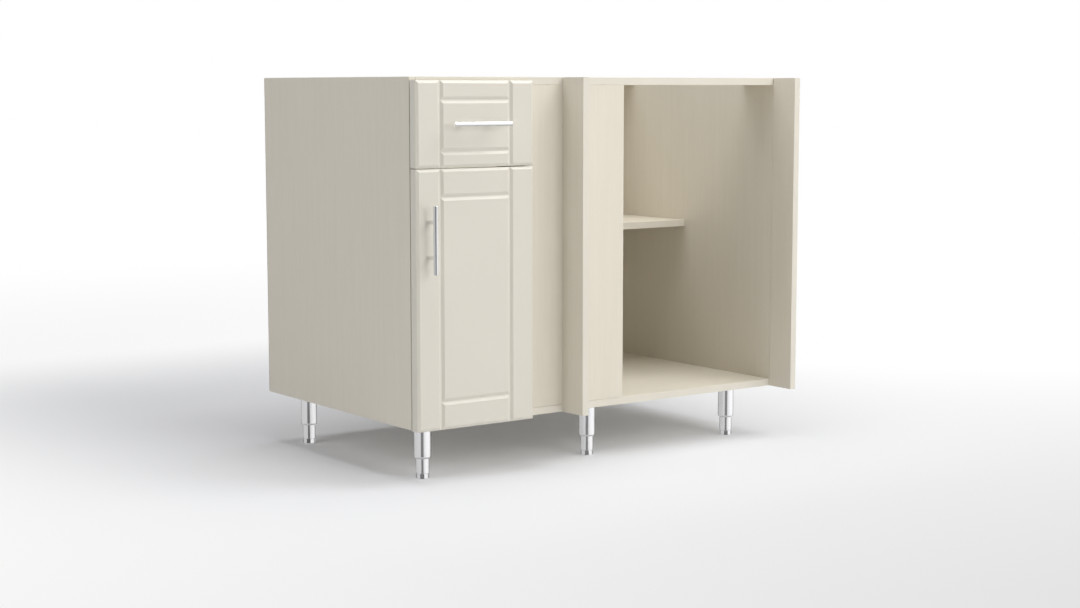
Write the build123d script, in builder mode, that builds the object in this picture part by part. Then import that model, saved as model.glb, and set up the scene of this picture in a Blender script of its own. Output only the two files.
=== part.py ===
from build123d import *
import os

# Blind corner base cabinet: a drawer over a door on the left, a blind panel with a corner strip
# that stands out from it, an open corner bay on the right, and six round levelling legs.
# Millimetres. The frame's origin is on the floor, under the middle of the whole cabinet:
# X runs to the right along the front, Y to the back, Z up.

# Carcass
CARCASS_WIDTH = 1010.0
CARCASS_DEPTH = 616.0
CARCASS_HEIGHT = 720.0
BOARD = 16.0
HARDBOARD = 3.0
BACK_INSET = 1.0
RAIL_DEPTH = 100.0
STRIP_DEPTH = 72.0
LEG_HEIGHT = 116.5

# Inside and front layout, measured from the carcass's front lower left corner
STILE_LEFT = 284.0
STILE_DEPTH = 100.0
PARTITION_BOTTOM = 530.0
STRIP_LEFT = 385.6
BLIND_RIGHT = 552.0
SHELF_TOP = 374.4
SHELF_FRONT = 310.0
SHELF_GAP = 1.0
SHELF_PIN_YS = (340.0, 590.0)
PIN_PEG = 2.5
PIN_REACH = 8.0

# Door and drawer fronts
FRONT_THICK = 23.0
FRONT_GAP = 2.0
FRONT_LEFT = 1.0
FRONT_RIGHT = 291.0
DOOR_BOTTOM = -1.9
DOOR_TOP = 534.4
DRAWER_BOTTOM = 536.4
DRAWER_TOP = 712.8
BEVEL_WIDTH = 6.0
BEVEL_DEPTH = 3.5
BACK_BEVEL = 1.5
GROOVE_WIDTH = 14.0
GROOVE_DEPTH = 3.5
GROOVE_FLOOR = 2.0
GROOVE_XS = (59.5, 231.4)
DOOR_GROOVE_ZS = (56.0, 476.5)
DRAWER_GROOVE_ZS = (569.2, 673.3)
BUMPER_X = 10.0
BUMPER_INSET = 30.0
BUMPER_RADIUS = 4.0

# Bar handles
BAR_LENGTH = 140.0
BAR_RADIUS = 5.5
BAR_CHAMFER = 0.6
BAR_REACH = 27.0
POST_RADIUS = 4.0
POST_SPACING = 72.0
DRAWER_HANDLE = (145.2, 624.6)
DOOR_HANDLE = (29.2, 392.0)
MACHINE_RADIUS = 2.0
MACHINE_HEAD_RADIUS = 4.0
MACHINE_HEAD = 2.6
THREAD_REACH = 10.0

# Drawer box and its runners
BOX_BOTTOM = 562.0
BOX_HEIGHT = 110.0
BOX_DEPTH = 500.0
BOTTOM_GROOVE_RISE = 10.0
BOTTOM_GROOVE_DEPTH = 7.0
CORNER_SCREW_ZS = (582.0, 656.0)
CORNER_SCREW_LENGTH = 35.0
RUNNER_THICK = 12.7
RUNNER_FRONT = 4.0
RUNNER_LENGTH = 450.0
RUNNER_HEIGHT = 600.0
RUNNER_SCREW_YS = (44.0, 229.0, 414.0)
SHEET = 1.2
BALL_RADIUS = 1.55
CAGE_LENGTH = 90.0
CAGE_WIDTH = 4.0
CAGE_THICK = 0.6
CAGE_BALLS = 6

# Concealed hinges: the pin's place in plan, the heights of the two hinges, and their parts
HINGE_HEIGHTS = (98.0, 433.0)
PIN_X = 284.9
PIN_Y = -11.2
PIN_RADIUS = 1.3
PIN_HALF = 8.0
EYE_RADIUS = 2.4
CUP_X = 270.8
CUP_RADIUS = 17.5
CUP_DEPTH = 13.5
CUP_FLOOR = 0.8
WING_LEFT = 250.0
WING_HALF = 27.0
WING_THICK = 1.0
CUP_SCREW_X = 261.3
CUP_SCREW_RISE = 22.5
NECK_THICK = 2.5
NECK_HALF = 4.8
ARM_FRONT = 3.0
ARM_BACK = 62.0
ARM_HALF = 8.0
ARM_WALL = 1.5
PLATE_THICK = 2.2
PLATE_SCREW_Y = 37.0
PLATE_SCREW_RISE = 16.0

# Legs: places in plan, then radii and heights below the bottom panel
LEG_XS = (63.0, 497.0, 910.0)
LEG_YS = (58.0, 545.0)
FLANGE_HALF = 30.0
FLANGE_THICK = 3.0
LEG_SCREW_REACH = 22.0
TUBE_RADIUS = 18.0
TUBE_BORE = 16.2
TUBE_BOTTOM = 73.5
GUIDE_TOP = 55.0
SHOULDER = 6.0
FOOT_RADIUS = 14.0
FOOT_BORE = 12.0
FOOT_CLEARANCE = 0.08
FOOT_TOP = 36.0
FOOT_FLOOR = 108.0
CAP_SEAM = 105.0
SEAM_DEPTH = 0.6
SOLE_ROUND = 2.0

# Screws, dowels and cam joints
SCREW_RADIUS = 2.0
HEAD_RADIUS = 3.2
HEAD_HEIGHT = 1.8
DOWEL_RADIUS = 4.0
DOWEL_SHORT = 10.5
DOWEL_LONG = 19.5
DOWEL_SPARE = 1.0
CAM_DISTANCE = 24.0
CAM_RADIUS = 7.5
CAM_HEIGHT = 12.4
CAM_CHANNEL = 3.5
CAM_THREAD = 2.5
BOLT_RADIUS = 2.8
BOLT_HEAD = 3.3
STRIP_SCREW_LENGTH = 37.0
LEG_SCREW_LENGTH = 17.0
PLATE_SCREW_LENGTH = 14.0
RUNNER_SCREW_LENGTH = 12.0
BOX_SCREW_LENGTH = 13.0
FRONT_SCREW_LENGTH = 30.0
CUP_SCREW_LENGTH = 12.0
BACK_SCREW_LENGTH = 20.0
BACK_SCREW_RADIUS = 1.5

# Places derived from the sizes above
OVERALL_DEPTH = STRIP_DEPTH + CARCASS_DEPTH + HARDBOARD
ORIGIN = Vector(-CARCASS_WIDTH / 2, STRIP_DEPTH - OVERALL_DEPTH / 2, LEG_HEIGHT)
INNER_LEFT = BOARD
INNER_RIGHT = CARCASS_WIDTH - BOARD
RAIL_BOTTOM = CARCASS_HEIGHT - BOARD
FACE = -FRONT_GAP - FRONT_THICK
BAR_Y = FACE - BAR_REACH
BOX_LEFT = INNER_LEFT + RUNNER_THICK
BOX_RIGHT = STILE_LEFT - RUNNER_THICK
BOX_FRONT = -FRONT_GAP
BOX_BACK = BOX_DEPTH - FRONT_GAP
BOX_TOP = BOX_BOTTOM + BOX_HEIGHT
INNER_BOX_LEFT = BOX_LEFT + BOARD
INNER_BOX_RIGHT = BOX_RIGHT - BOARD
INNER_BOX_FRONT = BOX_FRONT + BOARD
INNER_BOX_BACK = BOX_BACK - BOARD
BOX_SHEET_LOW = (
    INNER_BOX_LEFT - BOTTOM_GROOVE_DEPTH,
    INNER_BOX_FRONT - BOTTOM_GROOVE_DEPTH,
    BOX_BOTTOM + BOTTOM_GROOVE_RISE,
)
BOX_SHEET_HIGH = (
    INNER_BOX_RIGHT + BOTTOM_GROOVE_DEPTH,
    INNER_BOX_BACK + BOTTOM_GROOVE_DEPTH,
    BOX_BOTTOM + BOTTOM_GROOVE_RISE + HARDBOARD,
)
NECK_LEFT = PIN_X - 13.75
NECK_RIGHT = NECK_LEFT + NECK_THICK
LEFT, RIGHT = Vector(-1, 0, 0), Vector(1, 0, 0)
OUT, IN = Vector(0, -1, 0), Vector(0, 1, 0)
DOWN, UP = Vector(0, 0, -1), Vector(0, 0, 1)

os.makedirs("parts", exist_ok=True)


def at(x, y, z):
    """A point measured from the carcass's front lower left corner."""
    return ORIGIN + Vector(x, y, z)


def slab(low, high, mode=Mode.ADD):
    """A box between two opposite corners."""
    low, high = at(*low), at(*high)
    size = high - low
    with Locations((low + high) / 2):
        Box(size.X, size.Y, size.Z, mode=mode)


def rod(start, direction, radius, length, mode=Mode.ADD):
    """A round bar that starts at a point and runs along a direction."""
    with Locations(Plane(origin=at(*start), z_dir=direction)):
        Cylinder(radius, length, align=(Align.CENTER, Align.CENTER, Align.MIN), mode=mode)


def hole(start, direction, radius, length):
    """A round hole that starts at a point and runs along a direction."""
    rod(start, direction, radius, length, mode=Mode.SUBTRACT)


def along(start, direction, distance):
    """The point at a distance from start, still in the carcass's own measures."""
    moved = Vector(*start) + direction * distance
    return (moved.X, moved.Y, moved.Z)


def pan_screw(seat, direction, length):
    """A screw whose pan head sits on a surface and whose shank runs along a direction."""
    rod(along(seat, direction, -HEAD_HEIGHT), direction, HEAD_RADIUS, HEAD_HEIGHT)
    rod(seat, direction, SCREW_RADIUS, length)


def save(part, name):
    """Labels a finished piece and writes it."""
    part.label = name
    export_step(part, f"parts/{name}.step")


# Joints between boards. A dowel is a point on the joint's plane and the way into the board that is
# drilled in its face; the other end runs into the edge of the board that meets it.
rail_middle = RAIL_BOTTOM + BOARD / 2
stile_middle = STILE_LEFT + BOARD / 2
dowels = []
for y in (120.0, 496.0):
    dowels += [((INNER_LEFT, y, BOARD / 2), LEFT), ((INNER_RIGHT, y, BOARD / 2), RIGHT)]
for rail_front in (0.0, CARCASS_DEPTH - RAIL_DEPTH):
    for y in (rail_front + 20.0, rail_front + 80.0):
        dowels += [((INNER_LEFT, y, rail_middle), LEFT), ((INNER_RIGHT, y, rail_middle), RIGHT)]
    dowels.append(((stile_middle, rail_front + RAIL_DEPTH / 2, RAIL_BOTTOM), UP))
dowels += [((stile_middle, y, BOARD), DOWN) for y in (25.0, 75.0)]
dowels.append(((stile_middle, STILE_DEPTH / 2, PARTITION_BOTTOM), UP))
for x in (350.0, 500.0):
    dowels += [((x, BOARD / 2, BOARD), DOWN), ((x, BOARD / 2, RAIL_BOTTOM), UP)]
dowels += [((CARCASS_WIDTH - BOARD / 2, 0.0, z), IN) for z in (80.0, 260.0, 460.0, 640.0)]

# A cam joint is a point on the joint's plane and the way into the side panel.
cams = []
for y in (60.0, 556.0):
    cams += [((INNER_LEFT, y, BOARD / 2), LEFT), ((INNER_RIGHT, y, BOARD / 2), RIGHT)]
for y in (RAIL_DEPTH / 2, CARCASS_DEPTH - RAIL_DEPTH / 2):
    cams += [((INNER_LEFT, y, rail_middle), LEFT), ((INNER_RIGHT, y, rail_middle), RIGHT)]

# Places of screws, legs and pegs. A seat is where a screw's head meets the piece that it holds.
leg_points = [(x, y) for y in LEG_YS for x in LEG_XS]
leg_screw_offsets = [(LEG_SCREW_REACH * i, LEG_SCREW_REACH * j) for i in (-1, 1) for j in (-1, 1)]
leg_screw_seats = [(x + dx, y + dy, -FLANGE_THICK) for x, y in leg_points for dx, dy in leg_screw_offsets]
strip_screw_seats = [(STRIP_LEFT + BOARD / 2, BOARD, z) for z in (100.0, 360.0, 620.0)]
plate_screw_rises = (-PLATE_SCREW_RISE, PLATE_SCREW_RISE)
plate_screw_seats = [
    (STILE_LEFT - PLATE_THICK, PLATE_SCREW_Y, z + dz) for z in HINGE_HEIGHTS for dz in plate_screw_rises
]
cup_screw_rises = (-CUP_SCREW_RISE, CUP_SCREW_RISE)
cup_screw_seats = [
    (CUP_SCREW_X, WING_THICK - FRONT_GAP, z + dz) for z in HINGE_HEIGHTS for dz in cup_screw_rises
]
left_runner_seats = [(INNER_LEFT + SHEET, y, RUNNER_HEIGHT) for y in RUNNER_SCREW_YS]
right_runner_seats = [(STILE_LEFT - SHEET, y, RUNNER_HEIGHT) for y in RUNNER_SCREW_YS]
left_box_seats = [(BOX_LEFT - SHEET, y, RUNNER_HEIGHT) for y in RUNNER_SCREW_YS]
right_box_seats = [(BOX_RIGHT + SHEET, y, RUNNER_HEIGHT) for y in RUNNER_SCREW_YS]
front_screw_seats = [(x, INNER_BOX_FRONT, z) for x in (75.0, 225.0) for z in (592.0, 650.0)]
corner_screws = [
    (x, y, z)
    for x in (BOX_LEFT, BOX_RIGHT)
    for y in (BOX_FRONT + BOARD / 2, BOX_BACK - BOARD / 2)
    for z in CORNER_SCREW_ZS
]
worktop_hole_xs = (60.0, CARCASS_WIDTH - 60.0)
side_edge_xs = (BOARD / 2, CARCASS_WIDTH - BOARD / 2)
back_screw_places = [(x, z) for x in side_edge_xs for z in (40.0, 200.0, 360.0, 520.0, 680.0)]
back_screw_places += [(x, z) for x in (200.0, 400.0, 610.0, 810.0) for z in (BOARD / 2, rail_middle)]
back_screw_places.append((stile_middle, (PARTITION_BOTTOM + RAIL_BOTTOM) / 2))
back_screw_seats = [(x, CARCASS_DEPTH + HARDBOARD - HEAD_HEIGHT, z) for x, z in back_screw_places]
shelf_pin_seats = [
    ((x, y, SHELF_TOP - BOARD - PIN_PEG), way)
    for y in SHELF_PIN_YS
    for x, way in ((INNER_LEFT, LEFT), (INNER_RIGHT, RIGHT))
]


def inside(point, low, high):
    """Whether a point lies in or on a board's box."""
    return all(a - 0.01 <= p <= b + 0.01 for a, p, b in zip(low, point, high))


def board(low, high):
    """A flat board with the holes of every dowel, cam joint, shelf pin and back screw that touches it."""
    slab(low, high)
    for point, way in dowels:
        if inside(along(point, way, 1), low, high):
            hole(point, way, DOWEL_RADIUS, DOWEL_SHORT + DOWEL_SPARE)
        if inside(along(point, way, -1), low, high):
            hole(point, -way, DOWEL_RADIUS, DOWEL_LONG + DOWEL_SPARE)
    for point, way in cams:
        if inside(along(point, way, 1), low, high):
            hole(point, way, CAM_THREAD, 11.0)
        if inside(along(point, way, -1), low, high):
            centre = along(point, way, -CAM_DISTANCE)
            hole(centre, way, CAM_CHANNEL, CAM_DISTANCE)
            hole((centre[0], centre[1], low[2]), UP, CAM_RADIUS, CAM_HEIGHT + 0.1)
    for point, way in shelf_pin_seats:
        if inside(along(point, way, 1), low, high):
            hole(point, way, PIN_PEG, PIN_REACH + 1)
    for seat in back_screw_seats:
        if inside(along(seat, OUT, BACK_SCREW_LENGTH / 2), low, high):
            hole(seat, OUT, BACK_SCREW_RADIUS, BACK_SCREW_LENGTH + 1)


# Carcass boards
with BuildPart() as left_side_panel:
    board((0, 0, 0), (INNER_LEFT, CARCASS_DEPTH, CARCASS_HEIGHT))
    for seat in left_runner_seats:
        hole(seat, LEFT, SCREW_RADIUS, RUNNER_SCREW_LENGTH + 0.2)
save(left_side_panel.part, "left_side_panel")

with BuildPart() as right_side_panel:
    board((INNER_RIGHT, 0, 0), (CARCASS_WIDTH, CARCASS_DEPTH, CARCASS_HEIGHT))
save(right_side_panel.part, "right_side_panel")

with BuildPart() as bottom_panel:
    board((INNER_LEFT, 0, 0), (INNER_RIGHT, CARCASS_DEPTH, BOARD))
    for seat in leg_screw_seats:
        hole(seat, UP, SCREW_RADIUS, LEG_SCREW_LENGTH + 0.5)
save(bottom_panel.part, "bottom_panel")

for name, rail_front in (("front_top_rail", 0.0), ("back_top_rail", CARCASS_DEPTH - RAIL_DEPTH)):
    rail_back = rail_front + RAIL_DEPTH
    with BuildPart() as top_rail:
        board((INNER_LEFT, rail_front, RAIL_BOTTOM), (INNER_RIGHT, rail_back, CARCASS_HEIGHT))
        for x in worktop_hole_xs:
            hole((x, rail_front + RAIL_DEPTH / 2, RAIL_BOTTOM - 1), UP, 2.5, BOARD + 2)
    save(top_rail.part, name)

with BuildPart() as back_panel:
    slab(
        (BACK_INSET, CARCASS_DEPTH, BACK_INSET),
        (CARCASS_WIDTH - BACK_INSET, CARCASS_DEPTH + HARDBOARD, CARCASS_HEIGHT - BACK_INSET),
    )
    for seat in back_screw_seats:
        hole(seat, IN, HEAD_RADIUS, HEAD_HEIGHT)
        hole(seat, OUT, BACK_SCREW_RADIUS, HARDBOARD)
save(back_panel.part, "back_panel")

with BuildPart() as drawer_partition:
    board((STILE_LEFT, 0, PARTITION_BOTTOM), (STILE_LEFT + BOARD, CARCASS_DEPTH, RAIL_BOTTOM))
    for seat in right_runner_seats:
        hole(seat, RIGHT, SCREW_RADIUS, RUNNER_SCREW_LENGTH + 0.2)
save(drawer_partition.part, "drawer_partition")

with BuildPart() as hinge_stile:
    board((STILE_LEFT, 0, BOARD), (STILE_LEFT + BOARD, STILE_DEPTH, PARTITION_BOTTOM))
    for seat in plate_screw_seats:
        hole(seat, RIGHT, SCREW_RADIUS, PLATE_SCREW_LENGTH)
save(hinge_stile.part, "hinge_stile")

with BuildPart() as blind_panel:
    board((STILE_LEFT + BOARD, 0, BOARD), (BLIND_RIGHT, BOARD, RAIL_BOTTOM))
    for seat in strip_screw_seats:
        hole(along(seat, IN, 1), OUT, SCREW_RADIUS, BOARD + 2)
        hole(along(seat, IN, 1), OUT, HEAD_RADIUS, HEAD_HEIGHT + 1)
save(blind_panel.part, "blind_panel")

with BuildPart() as corner_strip:
    board((STRIP_LEFT, -STRIP_DEPTH, 0), (STRIP_LEFT + BOARD, 0, CARCASS_HEIGHT))
    for seat in strip_screw_seats:
        hole(along(seat, OUT, BOARD), OUT, SCREW_RADIUS, STRIP_SCREW_LENGTH + HEAD_HEIGHT + 1 - BOARD)
save(corner_strip.part, "corner_strip")

with BuildPart() as right_extension_strip:
    board((INNER_RIGHT, -STRIP_DEPTH, 0), (CARCASS_WIDTH, 0, CARCASS_HEIGHT))
save(right_extension_strip.part, "right_extension_strip")

with BuildPart() as shelf:
    slab(
        (INNER_LEFT + SHELF_GAP, SHELF_FRONT, SHELF_TOP - BOARD),
        (INNER_RIGHT - SHELF_GAP, CARCASS_DEPTH - SHELF_GAP, SHELF_TOP),
    )
save(shelf.part, "shelf")

# Carcass fittings
with BuildPart() as shelf_pins:
    for point, way in shelf_pin_seats:
        rod(along(point, way, -PIN_REACH), way, PIN_PEG, 2 * PIN_REACH)
save(shelf_pins.part, "shelf_pins")

with BuildPart() as dowel_pins:
    for point, way in dowels:
        rod(along(point, way, -DOWEL_LONG), way, DOWEL_RADIUS, DOWEL_LONG + DOWEL_SHORT)
save(dowel_pins.part, "dowels")

with BuildPart() as cam_bolts:
    for point, way in cams:
        rod(point, way, CAM_THREAD, 10.5)
        rod(point, -way, BOLT_RADIUS, CAM_DISTANCE - 5)
        rod(along(point, way, 5 - CAM_DISTANCE), -way, BOLT_HEAD, 2.5)
save(cam_bolts.part, "cam_bolts")

with BuildPart() as cam_discs:
    for point, way in cams:
        centre = along(point, way, -CAM_DISTANCE)
        rod(along(centre, DOWN, BOARD / 2), UP, CAM_RADIUS, CAM_HEIGHT)
    for point, way in cams:
        x, y, z = along(point, way, -CAM_DISTANCE)
        hole(along((x, y, z), way, -1.5), way, CAM_CHANNEL, 10.0)
        slab((x - 4, y - 0.6, z - BOARD / 2), (x + 4, y + 0.6, z - BOARD / 2 + 1.5), Mode.SUBTRACT)
save(cam_discs.part, "cam_discs")

with BuildPart() as chipboard_screws:
    for seat in back_screw_seats:
        rod(seat, IN, HEAD_RADIUS, HEAD_HEIGHT)
        rod(seat, OUT, BACK_SCREW_RADIUS, BACK_SCREW_LENGTH)
    for seat in strip_screw_seats:
        rod(seat, OUT, HEAD_RADIUS, HEAD_HEIGHT)
        rod(along(seat, OUT, HEAD_HEIGHT), OUT, SCREW_RADIUS, STRIP_SCREW_LENGTH)
    for seats, way, length in (
        (leg_screw_seats, UP, LEG_SCREW_LENGTH),
        (plate_screw_seats, RIGHT, PLATE_SCREW_LENGTH),
        (left_runner_seats, LEFT, RUNNER_SCREW_LENGTH),
        (right_runner_seats, RIGHT, RUNNER_SCREW_LENGTH),
    ):
        for seat in seats:
            pan_screw(seat, way, length)
save(chipboard_screws.part, "chipboard_screws")


# Legs: a square flange, a tube with a rounded shoulder, and a foot that slides out of it
def leg(x, y):
    """The fixed half: flange under the bottom panel, and the outer tube down to its shoulder."""
    slab((x - FLANGE_HALF, y - FLANGE_HALF, -FLANGE_THICK), (x + FLANGE_HALF, y + FLANGE_HALF, 0))
    guide = FOOT_RADIUS + FOOT_CLEARANCE
    lip = guide + 0.8
    with BuildSketch(Plane(origin=at(x, y, 0), x_dir=(1, 0, 0), z_dir=(0, -1, 0))) as half:
        with BuildLine():
            Polyline(
                (TUBE_RADIUS, SHOULDER - TUBE_BOTTOM),
                (TUBE_RADIUS, -FLANGE_THICK),
                (TUBE_BORE, -FLANGE_THICK),
                (TUBE_BORE, 3 - GUIDE_TOP),
                (guide, -GUIDE_TOP),
                (guide, 0.8 - TUBE_BOTTOM),
                (lip, -TUBE_BOTTOM),
            )
            Bezier(
                (lip, -TUBE_BOTTOM),
                (TUBE_RADIUS - 1, -TUBE_BOTTOM),
                (TUBE_RADIUS, SHOULDER / 3 - TUBE_BOTTOM),
                (TUBE_RADIUS, SHOULDER - TUBE_BOTTOM),
            )
        make_face()
    revolve(half.sketch, axis=Axis(at(x, y, 0), (0, 0, 1)))
    for dx, dy in leg_screw_offsets:
        hole((x + dx, y + dy, -FLANGE_THICK - 1), UP, SCREW_RADIUS, FLANGE_THICK + 2)


def foot(x, y):
    """The levelling foot: a capped sleeve, seamed above its rounded sole."""
    with BuildSketch(Plane(origin=at(x, y, 0), x_dir=(1, 0, 0), z_dir=(0, -1, 0))) as half:
        with BuildLine():
            Polyline(
                (0, -LEG_HEIGHT),
                (0, -FOOT_FLOOR),
                (FOOT_BORE, -FOOT_FLOOR),
                (FOOT_BORE, -FOOT_TOP),
                (FOOT_RADIUS, -FOOT_TOP),
                (FOOT_RADIUS, 0.4 - CAP_SEAM),
                (FOOT_RADIUS - SEAM_DEPTH, -CAP_SEAM),
                (FOOT_RADIUS - SEAM_DEPTH, -CAP_SEAM - 0.4),
                (FOOT_RADIUS, -CAP_SEAM - 0.8),
                (FOOT_RADIUS, SOLE_ROUND - LEG_HEIGHT),
            )
            sole_edge = (FOOT_RADIUS - SOLE_ROUND, -LEG_HEIGHT)
            RadiusArc((FOOT_RADIUS, SOLE_ROUND - LEG_HEIGHT), sole_edge, SOLE_ROUND)
            Line(sole_edge, (0, -LEG_HEIGHT))
        make_face()
    revolve(half.sketch, axis=Axis(at(x, y, 0), (0, 0, 1)))


depth_names = dict(zip(LEG_YS, ("front", "back")))
side_names = dict(zip(LEG_XS, ("left", "middle", "right")))
for x, y in leg_points:
    place = f"{depth_names[y]}_{side_names[x]}"
    with BuildPart() as leg_tube:
        leg(x, y)
    save(leg_tube.part, f"{place}_leg")
    with BuildPart() as levelling_foot:
        foot(x, y)
    save(levelling_foot.part, f"{place}_foot")


# Door and drawer fronts
def routed_groove(start, direction, across, length):
    """Cuts a shallow vee with a small flat floor into the face, along a straight line."""
    plane = Plane(origin=at(*start), x_dir=across, z_dir=direction)
    into = 1 if plane.y_dir.Y > 0 else -1
    half, floor = GROOVE_WIDTH / 2, GROOVE_FLOOR / 2
    with BuildSketch(plane) as vee:
        with BuildLine():
            Polyline(
                (-half, -into),
                (-half, 0),
                (-floor, GROOVE_DEPTH * into),
                (floor, GROOVE_DEPTH * into),
                (half, 0),
                (half, -into),
                close=True,
            )
        make_face()
    extrude(vee.sketch, amount=length, mode=Mode.SUBTRACT)


def routed_front(bottom, top, rail_heights):
    """A moulded front: bevelled face edges, two full-height grooves and two between them."""
    slab((FRONT_LEFT, FACE, bottom), (FRONT_RIGHT, -FRONT_GAP, top))
    face = faces().sort_by(Axis.Y)[0]
    chamfer(face.edges(), length=BEVEL_WIDTH, length2=BEVEL_DEPTH, reference=face)
    chamfer(faces().sort_by(Axis.Y)[-1].edges(), length=BACK_BEVEL)
    for x in GROOVE_XS:
        routed_groove((x, FACE, bottom), UP, RIGHT, top - bottom)
    for z in rail_heights:
        routed_groove((GROOVE_XS[0], FACE, z), RIGHT, UP, GROOVE_XS[1] - GROOVE_XS[0])


def post_points(middle, way):
    """The centres of a handle's two posts, at the front's face."""
    x, z = middle
    return [along((x, FACE, z), way, side * POST_SPACING / 2) for side in (-1, 1)]


drawer_posts = post_points(DRAWER_HANDLE, RIGHT)
door_posts = post_points(DOOR_HANDLE, UP)

with BuildPart() as door_panel:
    routed_front(DOOR_BOTTOM, DOOR_TOP, DOOR_GROOVE_ZS)
    for point in door_posts:
        hole(point, IN, MACHINE_RADIUS + 0.25, FRONT_THICK)
    for z in HINGE_HEIGHTS:
        hole((CUP_X, -FRONT_GAP, z), OUT, CUP_RADIUS + 0.05, CUP_DEPTH)
    for seat in cup_screw_seats:
        hole(seat, OUT, SCREW_RADIUS, CUP_SCREW_LENGTH + 0.5)
save(door_panel.part, "door_panel")

with BuildPart() as drawer_front:
    routed_front(DRAWER_BOTTOM, DRAWER_TOP, DRAWER_GROOVE_ZS)
    for point in drawer_posts:
        hole(point, IN, MACHINE_RADIUS + 0.25, FRONT_THICK)
    for seat in front_screw_seats:
        hole(seat, OUT, SCREW_RADIUS, FRONT_SCREW_LENGTH + 1)
save(drawer_front.part, "drawer_front")

# Handles: a round bar on two posts, each held by a machine screw from behind
for prefix, middle, way, posts, head_y in (
    ("drawer", DRAWER_HANDLE, RIGHT, drawer_posts, INNER_BOX_FRONT),
    ("door", DOOR_HANDLE, UP, door_posts, -FRONT_GAP),
):
    bar_end = along((middle[0], BAR_Y, middle[1]), way, -BAR_LENGTH / 2)
    with BuildPart() as bar:
        rod(bar_end, way, BAR_RADIUS, BAR_LENGTH)
        chamfer(bar.edges().filter_by(GeomType.CIRCLE), length=BAR_CHAMFER)
    save(bar.part, f"{prefix}_handle_bar")
    with BuildPart() as post_pair:
        for point in posts:
            rod(point, OUT, POST_RADIUS, BAR_REACH)
        hole(bar_end, way, BAR_RADIUS, BAR_LENGTH)
        for point in posts:
            hole(point, OUT, MACHINE_RADIUS, THREAD_REACH + 2)
    save(post_pair.part, f"{prefix}_handle_posts")
    with BuildPart() as machine_screws:
        for point in posts:
            head = (point[0], head_y, point[2])
            rod(head, IN, MACHINE_HEAD_RADIUS, MACHINE_HEAD)
            rod(head, OUT, MACHINE_RADIUS, head_y - FACE + THREAD_REACH)
    save(machine_screws.part, f"{prefix}_handle_screws")


# Drawer box
def inward(point):
    """The way into the drawer box from a point on its outer side."""
    return RIGHT if point[0] == BOX_LEFT else LEFT


def box_board(low, high):
    """A board of the drawer box, with the bottom sheet's groove and every screw hole in it."""
    low, high = (*low, BOX_BOTTOM), (*high, BOX_TOP)
    slab(low, high)
    slab(BOX_SHEET_LOW, BOX_SHEET_HIGH, Mode.SUBTRACT)
    for point in corner_screws:
        hole(point, inward(point), 1.75, CORNER_SCREW_LENGTH)
        hole(point, inward(point), 3.5, 2.0)
    for seats, way in ((left_box_seats, RIGHT), (right_box_seats, LEFT), (front_screw_seats, OUT)):
        for seat in seats:
            if inside(along(seat, way, BOARD / 2), low, high):
                hole(seat, way, SCREW_RADIUS, min(BOARD, BOX_SCREW_LENGTH + 0.5) if way != OUT else BOARD)
    for x, y, z in drawer_posts:
        if inside((x, BOX_FRONT + BOARD / 2, z), low, high):
            hole((x, BOX_FRONT, z), IN, MACHINE_RADIUS + 0.25, BOARD)


box_boards = {
    "drawer_left_side": ((BOX_LEFT, BOX_FRONT), (INNER_BOX_LEFT, BOX_BACK)),
    "drawer_right_side": ((INNER_BOX_RIGHT, BOX_FRONT), (BOX_RIGHT, BOX_BACK)),
    "drawer_inner_front": ((INNER_BOX_LEFT, BOX_FRONT), (INNER_BOX_RIGHT, INNER_BOX_FRONT)),
    "drawer_back": ((INNER_BOX_LEFT, INNER_BOX_BACK), (INNER_BOX_RIGHT, BOX_BACK)),
}
for name, (low, high) in box_boards.items():
    with BuildPart() as side:
        box_board(low, high)
    save(side.part, name)

with BuildPart() as drawer_bottom:
    slab(BOX_SHEET_LOW, BOX_SHEET_HIGH)
save(drawer_bottom.part, "drawer_bottom")

with BuildPart() as drawer_screws:
    for point in corner_screws:
        rod(point, inward(point), 3.5, 2.0)
        rod(along(point, inward(point), 2.0), inward(point), 1.75, CORNER_SCREW_LENGTH - 2)
    for seat in front_screw_seats:
        pan_screw(seat, OUT, FRONT_SCREW_LENGTH)
    for seat in left_box_seats:
        pan_screw(seat, RIGHT, BOX_SCREW_LENGTH)
    for seat in right_box_seats:
        pan_screw(seat, LEFT, BOX_SCREW_LENGTH)
save(drawer_screws.part, "drawer_screws")


# Telescopic runners. Each member is a channel of folded sheet; the depths below are measured from
# the board that the cabinet member is screwed to, and the heights from the runner's middle.
def runner_wall(side):
    """The board's face that a runner is screwed to, and the sign of the way out of it."""
    return (INNER_LEFT, 1) if side == "left" else (STILE_LEFT, -1)


def runner_box(side, depths, heights, front=RUNNER_FRONT, length=RUNNER_LENGTH):
    """A box in a runner, between two depths and two heights."""
    wall, way = runner_wall(side)
    xs = sorted(wall + way * depth for depth in depths)
    slab(
        (xs[0], front, RUNNER_HEIGHT + heights[0]),
        (xs[1], front + length, RUNNER_HEIGHT + heights[1]),
    )


def channel(side, web, flange, half_height):
    """A channel of folded sheet, given by its web's and its flanges' depths."""
    runner_box(side, web, (-half_height, half_height))
    for heights in ((-half_height, SHEET - half_height), (half_height - SHEET, half_height)):
        runner_box(side, flange, heights)


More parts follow.
